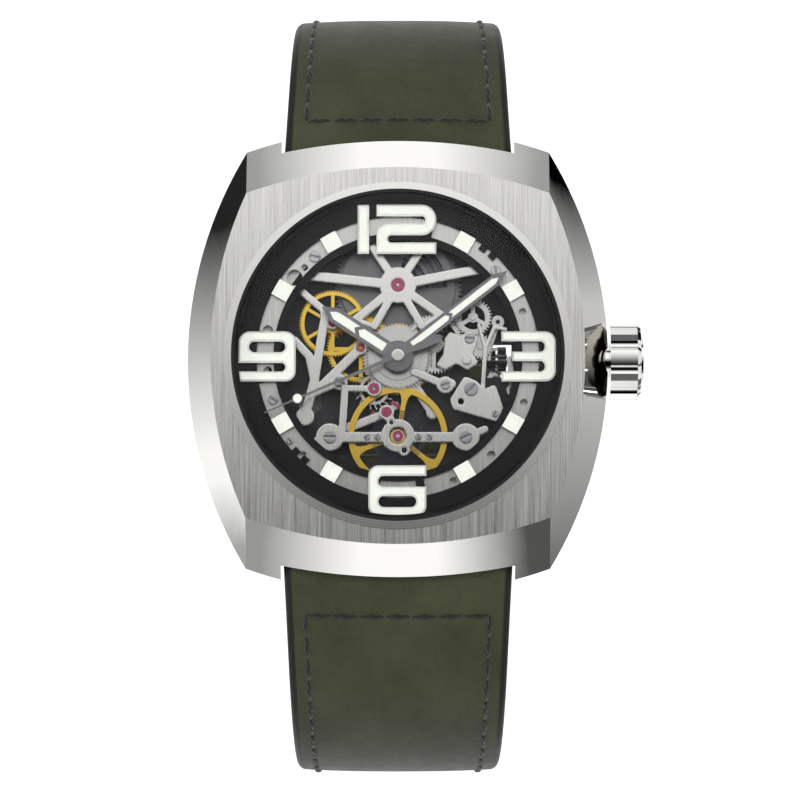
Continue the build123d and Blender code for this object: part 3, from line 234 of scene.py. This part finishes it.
def turned_metal(name, colour, rough=0.28, soft=0.00006):
    """Gilt or steel with a fine even grain."""
    m = Nodes(name)
    m.soft_edges(soft)
    grain = m.noise(m.place, scale=2600, detail=3)
    tone = m.noise(m.place, scale=120, detail=2)
    m.set(Base_Color=m.colours(tone, toned(colour, 0.92), colour), Metallic=1.0,
          Roughness=m.ramp(grain, rough * 0.85, rough * 1.15))
    m.bump(grain, strength=0.03, depth=0.00002)
    return m.material


def lacquer(name, colour, rough=0.45, speckle=0.5, metallic=0.0, grain=2500, shine=0.2):
    """Painted surface with a fine texture."""
    m = Nodes(name)
    dots = m.noise(m.place, scale=grain, detail=3)
    m.set(Base_Color=m.colours(dots, colour, toned(colour, 1 + speckle)), Metallic=metallic,
          Roughness=m.ramp(dots, rough * 0.85, rough * 1.15), Specular_IOR_Level=shine)
    m.bump(dots, strength=0.15, depth=0.00003)
    return m.material


def lume_material(name, rim=False):
    """Pale luminous paint, grainy and slightly soft; with a rim, faces that aren't flat are bright metal."""
    m = Nodes(name)
    grain = m.noise(m.place, scale=1800, detail=4)
    paint = m.colours(grain, srgb(192, 195, 186), srgb(214, 216, 208))
    if rim:
        flat = m.upward(0.85, 0.95)
        m.set(Base_Color=m.colours(flat, srgb(232, 234, 230), paint), Metallic=m.ramp(flat, 0.4, 0.0),
              Roughness=m.ramp(flat, 0.25, 0.5))
    else:
        m.set(Base_Color=paint, Roughness=m.ramp(grain, 0.42, 0.6))
    m.set(Specular_IOR_Level=0.35)
    m.bump(grain, strength=0.2, depth=0.00004)
    return m.material


def crystal_material(name, shine):
    """Clear sapphire: light goes straight through, with a thin reflection at shallow angles."""
    m = Nodes(name)
    clear = m.add("ShaderNodeBsdfTransparent")
    gloss = m.add("ShaderNodeBsdfGlossy")
    haze = m.noise(m.place, scale=60, detail=2)
    m.put(m.ramp(haze, 0.01, 0.03), gloss.inputs["Roughness"])
    edge = m.add("ShaderNodeFresnel")
    edge.inputs["IOR"].default_value = 1.28
    mix = m.add("ShaderNodeMixShader")
    m.put(m.maths("MULTIPLY", edge.outputs["Fac"], shine), mix.inputs["Fac"])
    m.put(clear.outputs[0], mix.inputs[1])
    m.put(gloss.outputs[0], mix.inputs[2])
    m.put(mix.outputs[0], m.output.inputs["Surface"])
    return m.material


def ruby_material(name):
    m = Nodes(name)
    inside = m.noise(m.place, scale=700, detail=2)
    m.set(Base_Color=m.colours(inside, srgb(84, 4, 40), srgb(136, 14, 70)), Roughness=0.08, IOR=1.76,
          Coat_Weight=0.6)
    return m.material


def leather_material(name, light, dark, cut_edge=True):
    """Waxed leather: pebbled, mottled and creased, with painted shade in the creases and dark painted edges
    where the mesh marks them.
    """
    m = Nodes(name)
    mottle = m.noise(m.place, scale=120, detail=6, roughness=0.62)
    fine = m.noise(m.place, scale=900, detail=5, roughness=0.6)
    pebble = m.voronoi(m.place, PEBBLES)
    crease = m.voronoi(m.place, PEBBLES * 0.55, "DISTANCE_TO_EDGE")
    colour = m.colours(m.ramp(mottle, 0.0, 1.0, start=0.3, end=0.7), dark, light)
    # painted shade: the grain's creases are darkened and the pebbles between them lightened a little
    painted_crease_shade = m.colours(m.ramp(crease, 0.0, 1.0, end=0.12), (0.82, 0.82, 0.8, 1), (1.03, 1.03, 1.0, 1))
    colour = m.colours(1.0, colour, painted_crease_shade, blend="MULTIPLY")
    if cut_edge:
        edge = m.add("ShaderNodeAttribute", attribute_name="edge").outputs["Fac"]
        colour = m.colours(edge, colour, srgb(27, 27, 22))
    m.set(Base_Color=colour, Roughness=m.ramp(fine, 0.42, 0.66), Specular_IOR_Level=0.24, Sheen_Weight=0.05,
          Sheen_Roughness=0.4)
    m.bump(pebble, strength=0.25, depth=0.00004)
    m.bump(m.ramp(crease, 0.0, 1.0, end=0.15), strength=0.2, depth=0.00003)
    m.bump(fine, strength=0.3, depth=0.0001)
    m.bump(m.noise(m.place, scale=140, detail=3), strength=0.2, depth=0.0005)
    return m.material


def thread_material(name):
    m = Nodes(name)
    fibre = m.noise(m.place, scale=5200, detail=3)
    m.set(Base_Color=m.colours(fibre, srgb(6, 6, 6), srgb(22, 22, 20)), Roughness=0.7, Sheen_Weight=0.2)
    m.bump(fibre, strength=0.6, depth=0.00004)
    return m.material


case_look = brushed("case_steel", srgb(232, 231, 228), rough=0.32, edge_rough=0.05, grain=1.2, tint=0.66)
polish_look = polished("polished_steel", srgb(226, 225, 222), rough=0.05, smudge=0.04)
bridge_look = brushed("bridge_steel", srgb(238, 237, 233), rough=0.24, grain=0.4, tint=0.92, soft=0.00022)
ring_look = brushed("ring_steel", srgb(222, 221, 218), rough=0.34, grain=1.2, tint=0.8, soft=0.0001)
wheel_look = turned_metal("wheel_steel", srgb(222, 222, 220), rough=0.22)
dark_steel_look = turned_metal("dark_steel", srgb(128, 128, 130), rough=0.3)
screw_look = polished("screw_steel", srgb(190, 191, 195), rough=0.1, smudge=0.06, soft=0.00015)
gilt_look = turned_metal("gilt", srgb(255, 214, 98), rough=0.24)
plate_look = lacquer("black_plate", srgb(34, 34, 36), rough=0.4, metallic=0.2, grain=1200)
dial_look = lacquer("dial_black", srgb(14, 14, 15), rough=0.5, speckle=0.6, grain=3000, shine=0.12)
hand_look = lacquer("hand_grey", srgb(92, 92, 94), rough=0.34, speckle=0.25, metallic=0.55, grain=2600)
spring_look = polished("spring_blue", srgb(84, 88, 104), rough=0.2, smudge=0.1)
gasket_look = lacquer("gasket_black", srgb(22, 22, 22), rough=0.6, speckle=0.3)
weight_look = brushed("rotor_steel", srgb(150, 149, 146), along="x", rough=0.32, edge_rough=0.12)
numeral_look = lume_material("numeral_lume", rim=True)
block_look = lume_material("block_lume")
hand_lume = lume_material("hand_lume")
jewel_look = ruby_material("ruby")
glass_look = crystal_material("sapphire", 0.55)
leather = leather_material("strap_leather", srgb(60, 62, 45), srgb(44, 47, 32))
keeper_leather = leather_material("keeper_leather", srgb(63, 65, 46), srgb(46, 49, 33), cut_edge=False)
thread = thread_material("black_thread")

LOOKS = {
    case_look: "case_middle case_back",
    polish_look: "bezel_ring crown stem buckle_frame buckle_tongue buckle_bar crown_tube spring_bars "
                 "balance_staff",
    screw_look: "bridge_screws",
    bridge_look: "barrel_bridge train_bridge balance_bridge centre_bridge pallet_bridge setting_plate "
                 "minute_wheel_bridge setting_lever_spring",
    ring_look: "movement_ring",
    wheel_look: "escape_wheel cannon_pinion minute_wheel hour_wheel setting_wheel pallet_fork "
                "intermediate_setting_wheel crown_wheel click setting_lever yoke barrel_arbor",
    dark_steel_look: "sliding_pinion winding_pinion barrel_drum ratchet_wheel",
    gilt_look: "second_wheel third_wheel fourth_wheel balance_wheel",
    plate_look: "mainplate",
    dial_look: "dial",
    hand_look: "hour_hand minute_hand seconds_hand",
    spring_look: "mainspring hairspring",
    gasket_look: "crystal_gasket",
    weight_look: "rotor",
    numeral_look: "applied_numerals",
    block_look: "hour_blocks",
    jewel_look: "jewels pallet_stones",
    glass_look: "crystal back_crystal",
}
for look, names in LOOKS.items():
    for name in names.split():
        for slot in nodes[name].material_slots:
            slot.material = look


# ---------------------------------------------------------------- mesh helpers
def new_piece(name, mesh_data, look, body):
    """A piece that rides on a body and takes the finish it is given."""
    piece = link(name, mesh_data)
    piece.data.materials.append(look)
    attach(piece, body)
    return piece


def mesh_from(name, builder, smooth=True):
    """A mesh of the faces that builder adds, all turned outwards."""
    mesh = bmesh.new()
    builder(mesh)
    bmesh.ops.recalc_face_normals(mesh, faces=mesh.faces)
    data = bpy.data.meshes.new(name)
    mesh.to_mesh(data)
    mesh.free()
    for polygon in data.polygons:
        polygon.use_smooth = smooth
    return data


def ring_surface(mesh, rings, closed_ends=True):
    """Faces between rings of points; each ring is closed."""
    rows = [[mesh.verts.new(point) for point in ring] for ring in rings]
    count = len(rows[0])
    for lower, upper in zip(rows, rows[1:]):
        for index in range(count):
            after = (index + 1) % count
            mesh.faces.new((lower[index], lower[after], upper[after], upper[index]))
    if closed_ends:
        mesh.faces.new(rows[0])
        mesh.faces.new(rows[-1])


def cutter(builder, placement):
    """A tool to cut with, at a placement."""
    tool = link("cutter", mesh_from("cutter", builder, smooth=False))
    tool.matrix_world = placement
    return tool


def cut(piece, cutters):
    """Cuts the tools out of a piece for good, and removes them."""
    for tool in cutters:
        modifier = piece.modifiers.new("cut", "BOOLEAN")
        modifier.operation = "DIFFERENCE"
        modifier.object = tool
        modifier.solver = "EXACT"
    shaped = bpy.data.meshes.new_from_object(piece.evaluated_get(bpy.context.evaluated_depsgraph_get()))
    piece.modifiers.clear()
    piece.data = shaped
    for tool in cutters:
        bpy.data.objects.remove(tool)


# ---------------------------------------------------------------- strap: path and section, in mm
BAR_Y = 19.0
BAR_Z = 3.4
LUG_WIDTH = 22.0
TAIL_WIDTH = 18.0
SHORT_LENGTH = 75.0
LONG_LENGTH = 118.0
BEHIND_BAR = 1.9          # how far the leather reaches behind its spring bar
FOLD_LENGTH = 0.9         # how far the short half reaches past its length, round the buckle's bar
TIP_LENGTH = 10.0
TIP_RINGS = 18
TIP_NARROWEST = 0.05
RING_STEP = 0.8
SECTION_STEPS = 14
CORNER_STEPS = 4
EDGE_ROUND = 0.8
EDGE_DROP = 0.12          # the outer face's edges lie this far below its nominal thickness
PADDING = 0.12            # how far the outer face swells in its middle, and how much more beside the case
CASE_PADDING = 0.28
PADDED_LENGTH = 45.0
PADDING_CURVE = 2.6


def arc(radius, turn):
    """The (length, turn) of a bend."""
    return (radius * radians(abs(turn)), turn)


SHORT_RUNS = [(8.0, 0), arc(16.9, -60), arc(16.5, -92), (60.0, 0)]
LONG_RUNS = [(10.0, 0), arc(19.7, 60), arc(60.0, 15), arc(22.6, 75), (90.0, 0)]


def follow(start, heading, runs, distance):
    """Point and heading at a distance along straight runs and arcs in the YZ plane."""
    y, z = start
    for length, turn in runs:
        step = min(distance, length)
        swing = turn * step / length
        if turn:
            radius = length / radians(turn)
            y += radius * (sin(radians(heading + swing)) - sin(radians(heading)))
            z -= radius * (cos(radians(heading + swing)) - cos(radians(heading)))
        else:
            y += step * cos(radians(heading))
            z += step * sin(radians(heading))
        heading += swing
        distance -= step
        if distance <= 0:
            break
    return y, z, heading


def taper(distance, start, end, length):
    return start + (end - start) * min(max(distance, 0) / length, 1)


class Half:
    """One half of the strap: its path, width and thickness, and points on its surface."""

    def __init__(self, side, heading, runs, thickness_run, width_length):
        self.side = side
        self.heading = heading
        self.runs = runs
        self.thickness_run = thickness_run
        self.width_length = width_length

    def width(self, distance):
        return taper(distance, LUG_WIDTH, TAIL_WIDTH, self.width_length)

    def thickness(self, distance):
        return taper(distance, *self.thickness_run)

    def point(self, distance, across, lift):
        """A point at a distance along, across from the middle and lifted towards the outer face."""
        y, z, heading = follow((self.side * BAR_Y, BAR_Z), self.heading, self.runs, max(distance, 0))
        angle = radians(heading)
        if distance < 0:
            y += distance * cos(angle)
            z += distance * sin(angle)
        return Vector((across, y - self.side * lift * sin(angle), z + self.side * lift * cos(angle)))

    def outward(self, distance):
        """The direction that the outer face looks in."""
        return (self.point(distance, 0, 1) - self.point(distance, 0, 0)).normalized()


SHORT = Half(1, -30, SHORT_RUNS, (4.4, 2.4, 48), 52)
LONG = Half(-1, 210, LONG_RUNS, (4.4, 2.2, 70), 60)


def swelling(distance, share):
    """How far the padding lifts the outer face, at a share of the way from its middle to its edge."""
    padding = PADDING + CASE_PADDING * max(0.0, 1 - distance / PADDED_LENGTH)
    return padding * (1 - min(1, abs(share)) ** PADDING_CURVE)


def tip_share(left):
    """The width that is left of the tail, this far from its rounded tip, as a share."""
    reach = min(1.0, max(0.0, 1 - left / TIP_LENGTH))
    return max(TIP_NARROWEST, (1 - reach ** 2.2) ** 0.6)


def section(distance, width, thickness):
    """The strap's section as (across, lift, edge) points: a padded outer face and rounded, painted edges."""
    half = width / 2
    corner = min(EDGE_ROUND, thickness * 0.38, half * 0.9)
    inner = -thickness / 2
    outer = thickness / 2 - EDGE_DROP

    def rounded(side, middle, start):
        angles = [start - pi / 2 * index / (CORNER_STEPS + 0.5) for index in range(1, CORNER_STEPS + 1)]
        return [(side * (half - corner) + corner * cos(angle), middle + corner * sin(angle), 1.0)
                for angle in angles]

    shares = [-1 + 2 * index / SECTION_STEPS for index in range(SECTION_STEPS + 1)]
    outer_face = [(share * (half - corner), outer + swelling(distance, share), 0.0) for share in shares]
    inner_face = [(-share * (half - corner), inner, 0.0) for share in shares]
    return (outer_face + rounded(1, outer - corner, pi / 2) + rounded(1, inner + corner, 0.0)
            + inner_face + rounded(-1, inner + corner, -pi / 2) + rounded(-1, outer - corner, pi))


def strap_mesh(name, half, end, tip=False):
    """The leather of one half, from behind its spring bar to its end."""
    start = -BEHIND_BAR
    body_end = end - TIP_LENGTH if tip else end
    steps = int((body_end - start) / RING_STEP)
    stations = [start + (body_end - start) * index / steps for index in range(steps + 1)]
    if tip:
        turns = [pi / 2 * index / TIP_RINGS for index in range(1, TIP_RINGS + 1)]
        stations += [body_end + TIP_LENGTH * sin(turn) for turn in turns]
    rings = []
    edges = []
    for distance in stations:
        width = half.width(distance)
        if tip:
            width *= tip_share(end - distance)
        points = section(distance, width, half.thickness(distance))
        rings.append([half.point(distance, across, lift) * MM for across, lift, edge in points])
        edges += [edge for across, lift, edge in points]
    data = mesh_from(name, lambda mesh: ring_surface(mesh, rings))
    attribute = data.attributes.new("edge", "FLOAT", "POINT")
    attribute.data.foreach_set("value", edges)
    return data


def strap_piece(node, half, end, cutters, tip=False):
    """One half of the strap, cut, in place of the record's plain solid."""
    name = node + "_leather"
    piece = link(name, strap_mesh(name, half, end, tip))
    cut(piece, cutters)
    piece.data.materials.append(leather)
    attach(piece, node)
    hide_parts(node)


# ---------------------------------------------------------------- strap: tail holes and tongue slot
HOLE_COUNT = 6
HOLE_PITCH = 6.5
HOLE_RADIUS = 0.9
LAST_HOLE = 22.0          # from the tail's tip to the nearest hole
HOLE_SIDES = 28
HOLE_DEPTH = 8.0
SLOT_MIDDLE = 1.2         # from the short half's end to the middle of the slot
SLOT_SHIFTS = (-2.2, -0.7, 0.8, 2.2)
SLOT_BLOCK = (3.0, 2.2, 7.0)


def hole_cutter(index):
    distance = LONG_LENGTH - LAST_HOLE - index * HOLE_PITCH
    turn = LONG.outward(distance).to_track_quat("Z", "Y").to_matrix().to_4x4()

    def builder(mesh):
        bmesh.ops.create_cone(mesh, cap_ends=True, segments=HOLE_SIDES, radius1=HOLE_RADIUS * MM,
                              radius2=HOLE_RADIUS * MM, depth=HOLE_DEPTH * MM)
    return cutter(builder, Matrix.Translation(LONG.point(distance, 0, 0) * MM) @ turn)


def slot_cutter(shift):
    """One block of the row that makes the slot."""
    size = Matrix.Diagonal([side * MM for side in SLOT_BLOCK] + [1])
    centre = SHORT.point(SHORT_LENGTH - SLOT_MIDDLE + shift, 0, 0) * MM
    return cutter(lambda mesh: bmesh.ops.create_cube(mesh, size=1.0), Matrix.Translation(centre) @ size)


strap_piece("strap_long", LONG, LONG_LENGTH, [hole_cutter(index) for index in range(HOLE_COUNT)], tip=True)
strap_piece("strap_short", SHORT, SHORT_LENGTH + FOLD_LENGTH, [slot_cutter(shift) for shift in SLOT_SHIFTS])


# ---------------------------------------------------------------- strap: stitching
STITCH_PITCH = 2.35
STITCH_INSET = 1.95
STITCH_SHARE = 0.9        # a stitch's length as a share of the pitch
STITCH_STEPS = 7
STITCH_TURNS = 2.2        # half turns that the two strands make round each other
STRAND_RADIUS = 0.19
STRAND_OFFSET = 0.11
STRAND_SIDES = 6


def stitch(mesh, start, end, normal):
    """One stitch of two twisted strands between two points, in metres; its ends sink into the leather."""
    middle = (start + end) / 2
    along = (end - start) * STITCH_SHARE
    side = along.cross(normal).normalized()

    def around(angle):
        return side * cos(angle) + normal * sin(angle)

    for phase in (0.0, pi):
        rings = []
        for index in range(STITCH_STEPS + 1):
            part = index / STITCH_STEPS
            swell = sin(pi * min(max(part, 0.04), 0.96)) ** 0.5
            lift = (0.16 * swell - 0.12) * MM
            twist = around(phase + part * STITCH_TURNS * pi) * STRAND_OFFSET * MM * swell
            centre = middle + along * (part - 0.5) + normal * lift + twist
            radius = STRAND_RADIUS * MM * (0.45 + 0.55 * swell)
            rings.append([centre + around(2 * pi * corner / STRAND_SIDES) * radius
                          for corner in range(STRAND_SIDES)])
        ring_surface(mesh, rings)


def stitching(body, half, first, last):
    """Stitches along both sides of a strap half from first to last, and across it at first."""
    def place(distance, across):
        edge = half.width(distance) / 2 - EDGE_ROUND
        top = half.thickness(distance) / 2 - EDGE_DROP + swelling(distance, across / edge)
        return half.point(distance, across, top) * MM

    def builder(mesh):
        for side in (1, -1):
            for index in range(int((last - first) / STITCH_PITCH)):
                near = first + index * STITCH_PITCH
                start, end = [place(distance, side * (half.width(distance) / 2 - STITCH_INSET))
                              for distance in (near, near + STITCH_PITCH)]
                stitch(mesh, start, end, half.outward(near))
        reach = half.width(first) / 2 - STITCH_INSET
        count = int(2 * reach / STITCH_PITCH)
        for index in range(count):
            left = -reach + 2 * reach * index / count
            right = -reach + 2 * reach * (index + 1) / count
            stitch(mesh, place(first, left), place(first, right), half.outward(first))

    name = body + "_stitching"
    new_piece(name, mesh_from(name, builder), thread, body)


stitching("strap_short", SHORT, 3.9, 66.0)
stitching("strap_long", LONG, 5.1, 104.0)


# ---------------------------------------------------------------- strap: keepers
KEEPER_WALL = 1.0
KEEPER_ROOM = 1.0         # beside the strap, both sides together
KEEPER_BELOW = 1.2        # the opening, below and above the strap's middle
KEEPER_ABOVE = 4.1
KEEPER_CORNER = 0.5
KEEPER_CORNER_STEPS = 5
SOFT_EDGE = [(0.5, 0.3), (0.44, 0.04), (0.36, 0.0)]


def keeper_profile():
    """The leather's section as shares of its width and its wall, with four soft edges."""
    flipped = [(-share, height) for share, height in SOFT_EDGE]
    near_wall = flipped + SOFT_EDGE[::-1]
    return near_wall + [(share, 1 - height) for share, height in near_wall[::-1]]


def keeper_mesh(name, distance, gap, width):
    """A leather loop with soft edges around the buckle half."""
    reach_x = (TAIL_WIDTH + KEEPER_ROOM + 2 * gap) / 2
    low = -KEEPER_BELOW - gap
    middle = (low + KEEPER_ABOVE) / 2
    reach_z = (KEEPER_ABOVE - low) / 2

    def outline(height):
        """The loop around the strap at a height in its wall: 0 inside, 1 outside."""
        grow = KEEPER_WALL * height
        corner = KEEPER_CORNER + 0.7 * height
        points = []
        for side_x, side_z, start in ((1, 1, 0), (-1, 1, 90), (-1, -1, 180), (1, -1, 270)):
            for index in range(KEEPER_CORNER_STEPS + 1):
                angle = radians(start + 90 * index / KEEPER_CORNER_STEPS)
                points.append((side_x * (reach_x + grow - corner) + corner * cos(angle),
                               side_z * (reach_z + grow - corner) + corner * sin(angle) + middle))
        return points

    loops = []
    for share, height in keeper_profile():
        place = distance + share * width
        loops.append([SHORT.point(place, across, lift) * MM for across, lift in outline(height)])
    rings = list(zip(*loops))
    rings.append(rings[0])

    def builder(mesh):
        ring_surface(mesh, rings, closed_ends=False)
        bmesh.ops.remove_doubles(mesh, verts=mesh.verts, dist=1e-7)
    return mesh_from(name, builder)


for label, distance, gap, width, body in (("keeper_fixed", 68.6, 0.15, 4.6, "strap_short"),
                                          ("keeper_sliding", 60.6, 0.2, 5.0, "keeper_sliding")):
    keeper = new_piece(label + "_leather", keeper_mesh(label, distance, gap, width), keeper_leather, body)
    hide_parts(label)


# ---------------------------------------------------------------- lume on the hands, in mm
HOUR_ANGLE = 303.1
MINUTE_ANGLE = 52.1
SECONDS_ANGLE = 246.7
INLAY_BEVEL = 0.06
DOME_SIDES = 32
DOME_PROFILE = ((1.0, 0.0), (1.0, 0.55), (0.93, 0.85), (0.75, 1.0))
DOT_REACH = 10.4


def inlay_outline(start, end, half_width, point, notch=0.0):
    """A strip along +X with a point at its far end and, if asked, a notch at its near end."""
    outline = [(start, -half_width), (end, -half_width), (end + point, 0), (end, half_width),
               (start, half_width)]
    if notch:
        outline.insert(0, (start + notch, 0))
    return outline


def inlay(name, outline, low, high, angle, body):
    """A thin inlay turned from +X to a clockwise dial angle; its top edge is softened."""
    turn = radians(90 - angle)
    xs = [x for x, y in outline]
    ys = [y for x, y in outline]
    middle_x = sum(xs) / len(xs)
    middle_y = sum(ys) / len(ys)
    shrink_x = 1 - 2 * INLAY_BEVEL / (max(xs) - min(xs))
    shrink_y = 1 - 2 * INLAY_BEVEL / (max(ys) - min(ys))

    def ring(scale_x, scale_y, z):
        points = []
        for x, y in outline:
            x = middle_x + (x - middle_x) * scale_x
            y = middle_y + (y - middle_y) * scale_y
            points.append(Vector((x * cos(turn) - y * sin(turn), x * sin(turn) + y * cos(turn), z)) * MM)
        return points

    def builder(mesh):
        ring_surface(mesh, [ring(1, 1, low), ring(1, 1, high - INLAY_BEVEL), ring(shrink_x, shrink_y, high)])
    new_piece(name, mesh_from(name, builder, smooth=False), hand_lume, body)


def dome(name, centre, radius, low, high, look, body):
    """A low dome on a hub or a dot."""
    turns = [2 * pi * index / DOME_SIDES for index in range(DOME_SIDES)]

    def ring(share, level):
        return [Vector((centre[0] + radius * share * cos(turn), centre[1] + radius * share * sin(turn),
                        low + (high - low) * level)) * MM for turn in turns]

    def builder(mesh):
        ring_surface(mesh, [ring(share, level) for share, level in DOME_PROFILE])
    new_piece(name, mesh_from(name, builder, smooth=False), look, body)


for label, outline, low, high, angle, body in (
        ("hour_lume_inner", inlay_outline(1.5, 4.1, 0.42, 0.4), 9.07, 9.24, HOUR_ANGLE, "hour"),
        ("hour_lume_outer", inlay_outline(4.55, 7.1, 0.42, 0.65, 0.4), 9.07, 9.24, HOUR_ANGLE, "hour"),
        ("minute_lume_inner", inlay_outline(1.7, 5.9, 0.3, 0.3), 9.36, 9.52, MINUTE_ANGLE, "cannon"),
        ("minute_lume_outer", inlay_outline(6.3, 11.6, 0.3, 0.6, 0.3), 9.36, 9.52, MINUTE_ANGLE, "cannon")):
    inlay(label, outline, low, high, angle, body)

dot_turn = radians(90 - SECONDS_ANGLE)
dot_centre = (DOT_REACH * cos(dot_turn), DOT_REACH * sin(dot_turn))
dome("seconds_dot", dot_centre, 0.42, 9.77, 9.81, hand_lume, "fourth")
dome("seconds_cap", (0, 0), 0.6, 9.765, 9.82, polish_look, "fourth")
dome("hour_hub", (0, 0), 1.5, 8.85, 9.03, hand_look, "hour")


# ---------------------------------------------------------------- floor, backdrop and world
FLOOR_DROP = 0.016        # room below for the strap's tail to swing
FLOOR_REACH = 3.0
BACKDROP_RADIUS = 3.6
WORLD_STRENGTH = 0.16


def stage_piece(name, data, look):
    """A part of the studio, which doesn't belong to the watch."""
    piece = link(name, data)
    piece.data.materials.append(look)
    return piece


def quad(name, corners):
    """A flat face between four corners, in metres."""
    data = bpy.data.meshes.new(name)
    data.from_pydata(corners, [], [(0, 1, 2, 3)])
    return data


paper = Nodes("floor_paper")
paper.set(Base_Color=(0.3, 0.3, 0.3, 1), Roughness=0.9, Emission_Color=(1, 1, 1, 1), Emission_Strength=0.98)
floor_z = cad_bounds[0][2] - FLOOR_DROP
stage_piece("floor", quad("floor", [(x * FLOOR_REACH, y * FLOOR_REACH, floor_z)
                                    for x, y in ((-1, -1), (1, -1), (1, 1), (-1, 1))]), paper.material)

backdrop_data = mesh_from("backdrop", lambda mesh: bmesh.ops.create_icosphere(
    mesh, subdivisions=4, radius=BACKDROP_RADIUS), smooth=False)
backdrop = stage_piece("backdrop", backdrop_data, paper.material)
backdrop.visible_diffuse = False
backdrop.visible_glossy = False
backdrop.visible_transmission = False
backdrop.visible_shadow = False

scene.view_settings.view_transform = "Standard"
world = bpy.data.worlds.new("studio")
scene.world = world
world.use_nodes = True
background = world.node_tree.nodes["Background"]
background.inputs["Color"].default_value = (0.95, 0.97, 1.0, 1)
background.inputs["Strength"].default_value = WORLD_STRENGTH


# ---------------------------------------------------------------- reflectors and lights, in mm
LOW = cad_bounds[0][2] / MM + 1.0     # the reflectors on either side lie just above the strap's lowest point
SPLIT_LEFT = -24
SPLIT_RIGHT = 10
END_Y = 230
CEILING = 130


def level(x_span, y_span, z):
    """The corners of a level rectangle."""
    return [(x_span[0], y_span[0], z), (x_span[1], y_span[0], z), (x_span[1], y_span[1], z),
            (x_span[0], y_span[1], z)]


def upright(x_span, y, z_span):
    """The corners of an upright rectangle that faces along Y."""
    return [(x_span[0], y, z_span[0]), (x_span[1], y, z_span[0]), (x_span[1], y, z_span[1]),
            (x_span[0], y, z_span[1])]


def card(name, corners, axis, first, second, both_sides=False):
    """A reflector, seen only in reflections; its glow runs between two (place, glow) pairs on an axis."""
    m = Nodes(name)
    along = m.axis(m.place, axis)
    if both_sides:
        along = m.maths("ABSOLUTE", along)
    glow = m.add("ShaderNodeEmission")
    m.put(m.ramp(along, first[1], second[1], first[0] * MM, second[0] * MM), glow.inputs["Strength"])
    m.put(glow.outputs[0], m.output.inputs["Surface"])
    piece = stage_piece(name, quad(name, [Vector(corner) * MM for corner in corners]), m.material)
    piece.visible_camera = False
    piece.visible_diffuse = False
    piece.visible_shadow = False


def area_light(name, position, width, height, power):
    """A soft lamp that looks at the watch."""
    light = bpy.data.lights.new(name, "AREA")
    light.shape = "RECTANGLE"
    light.size = width * MM
    light.size_y = height * MM
    light.energy = power
    lamp = link(name, light)
    lamp.location = Vector(position) * MM
    lamp.rotation_euler = (-Vector(position)).to_track_quat("-Z", "Y").to_euler()
    lamp.visible_camera = False
    return lamp


card("dark_left_upper", level((-190, -50), (SPLIT_LEFT, 190), LOW), "Y", (-18, 1.15), (40, 0.02))
card("dark_left_lower", level((-190, -50), (-190, SPLIT_LEFT), LOW), "Y", (-46, 0.45), (-26, 1.15))
card("dark_right_upper", level((50, 190), (SPLIT_RIGHT, 190), LOW), "Y", (22, 0.66), (50, 0.0))
card("dark_right_lower", level((50, 190), (-190, SPLIT_RIGHT), LOW), "Y", (-55, 0.16), (10, 0.66))
card("white_top", upright((-330, 330), END_Y, (-67, 60)), "X", (20, 1.2), (80, 0.42), both_sides=True)
card("bottom_left", upright((-330, 0), -END_Y, (-50, 110)), "X", (-90, 0.38), (-25, 1.2))
card("bottom_right", upright((0, 330), -END_Y, (-50, 110)), "X", (25, 1.2), (85, 0.1))
card("ceiling", level((-160, 160), (-140, 200), CEILING), "Y", (-22, 0.0), (44, 1.28))
key = area_light("key", (0, 10, 230), 150, 90, 0.62)
key.visible_glossy = False
area_light("fill_left", (-160, -60, 150), 80, 80, 0.16)
area_light("fill_right", (170, -20, 150), 80, 80, 0.12)
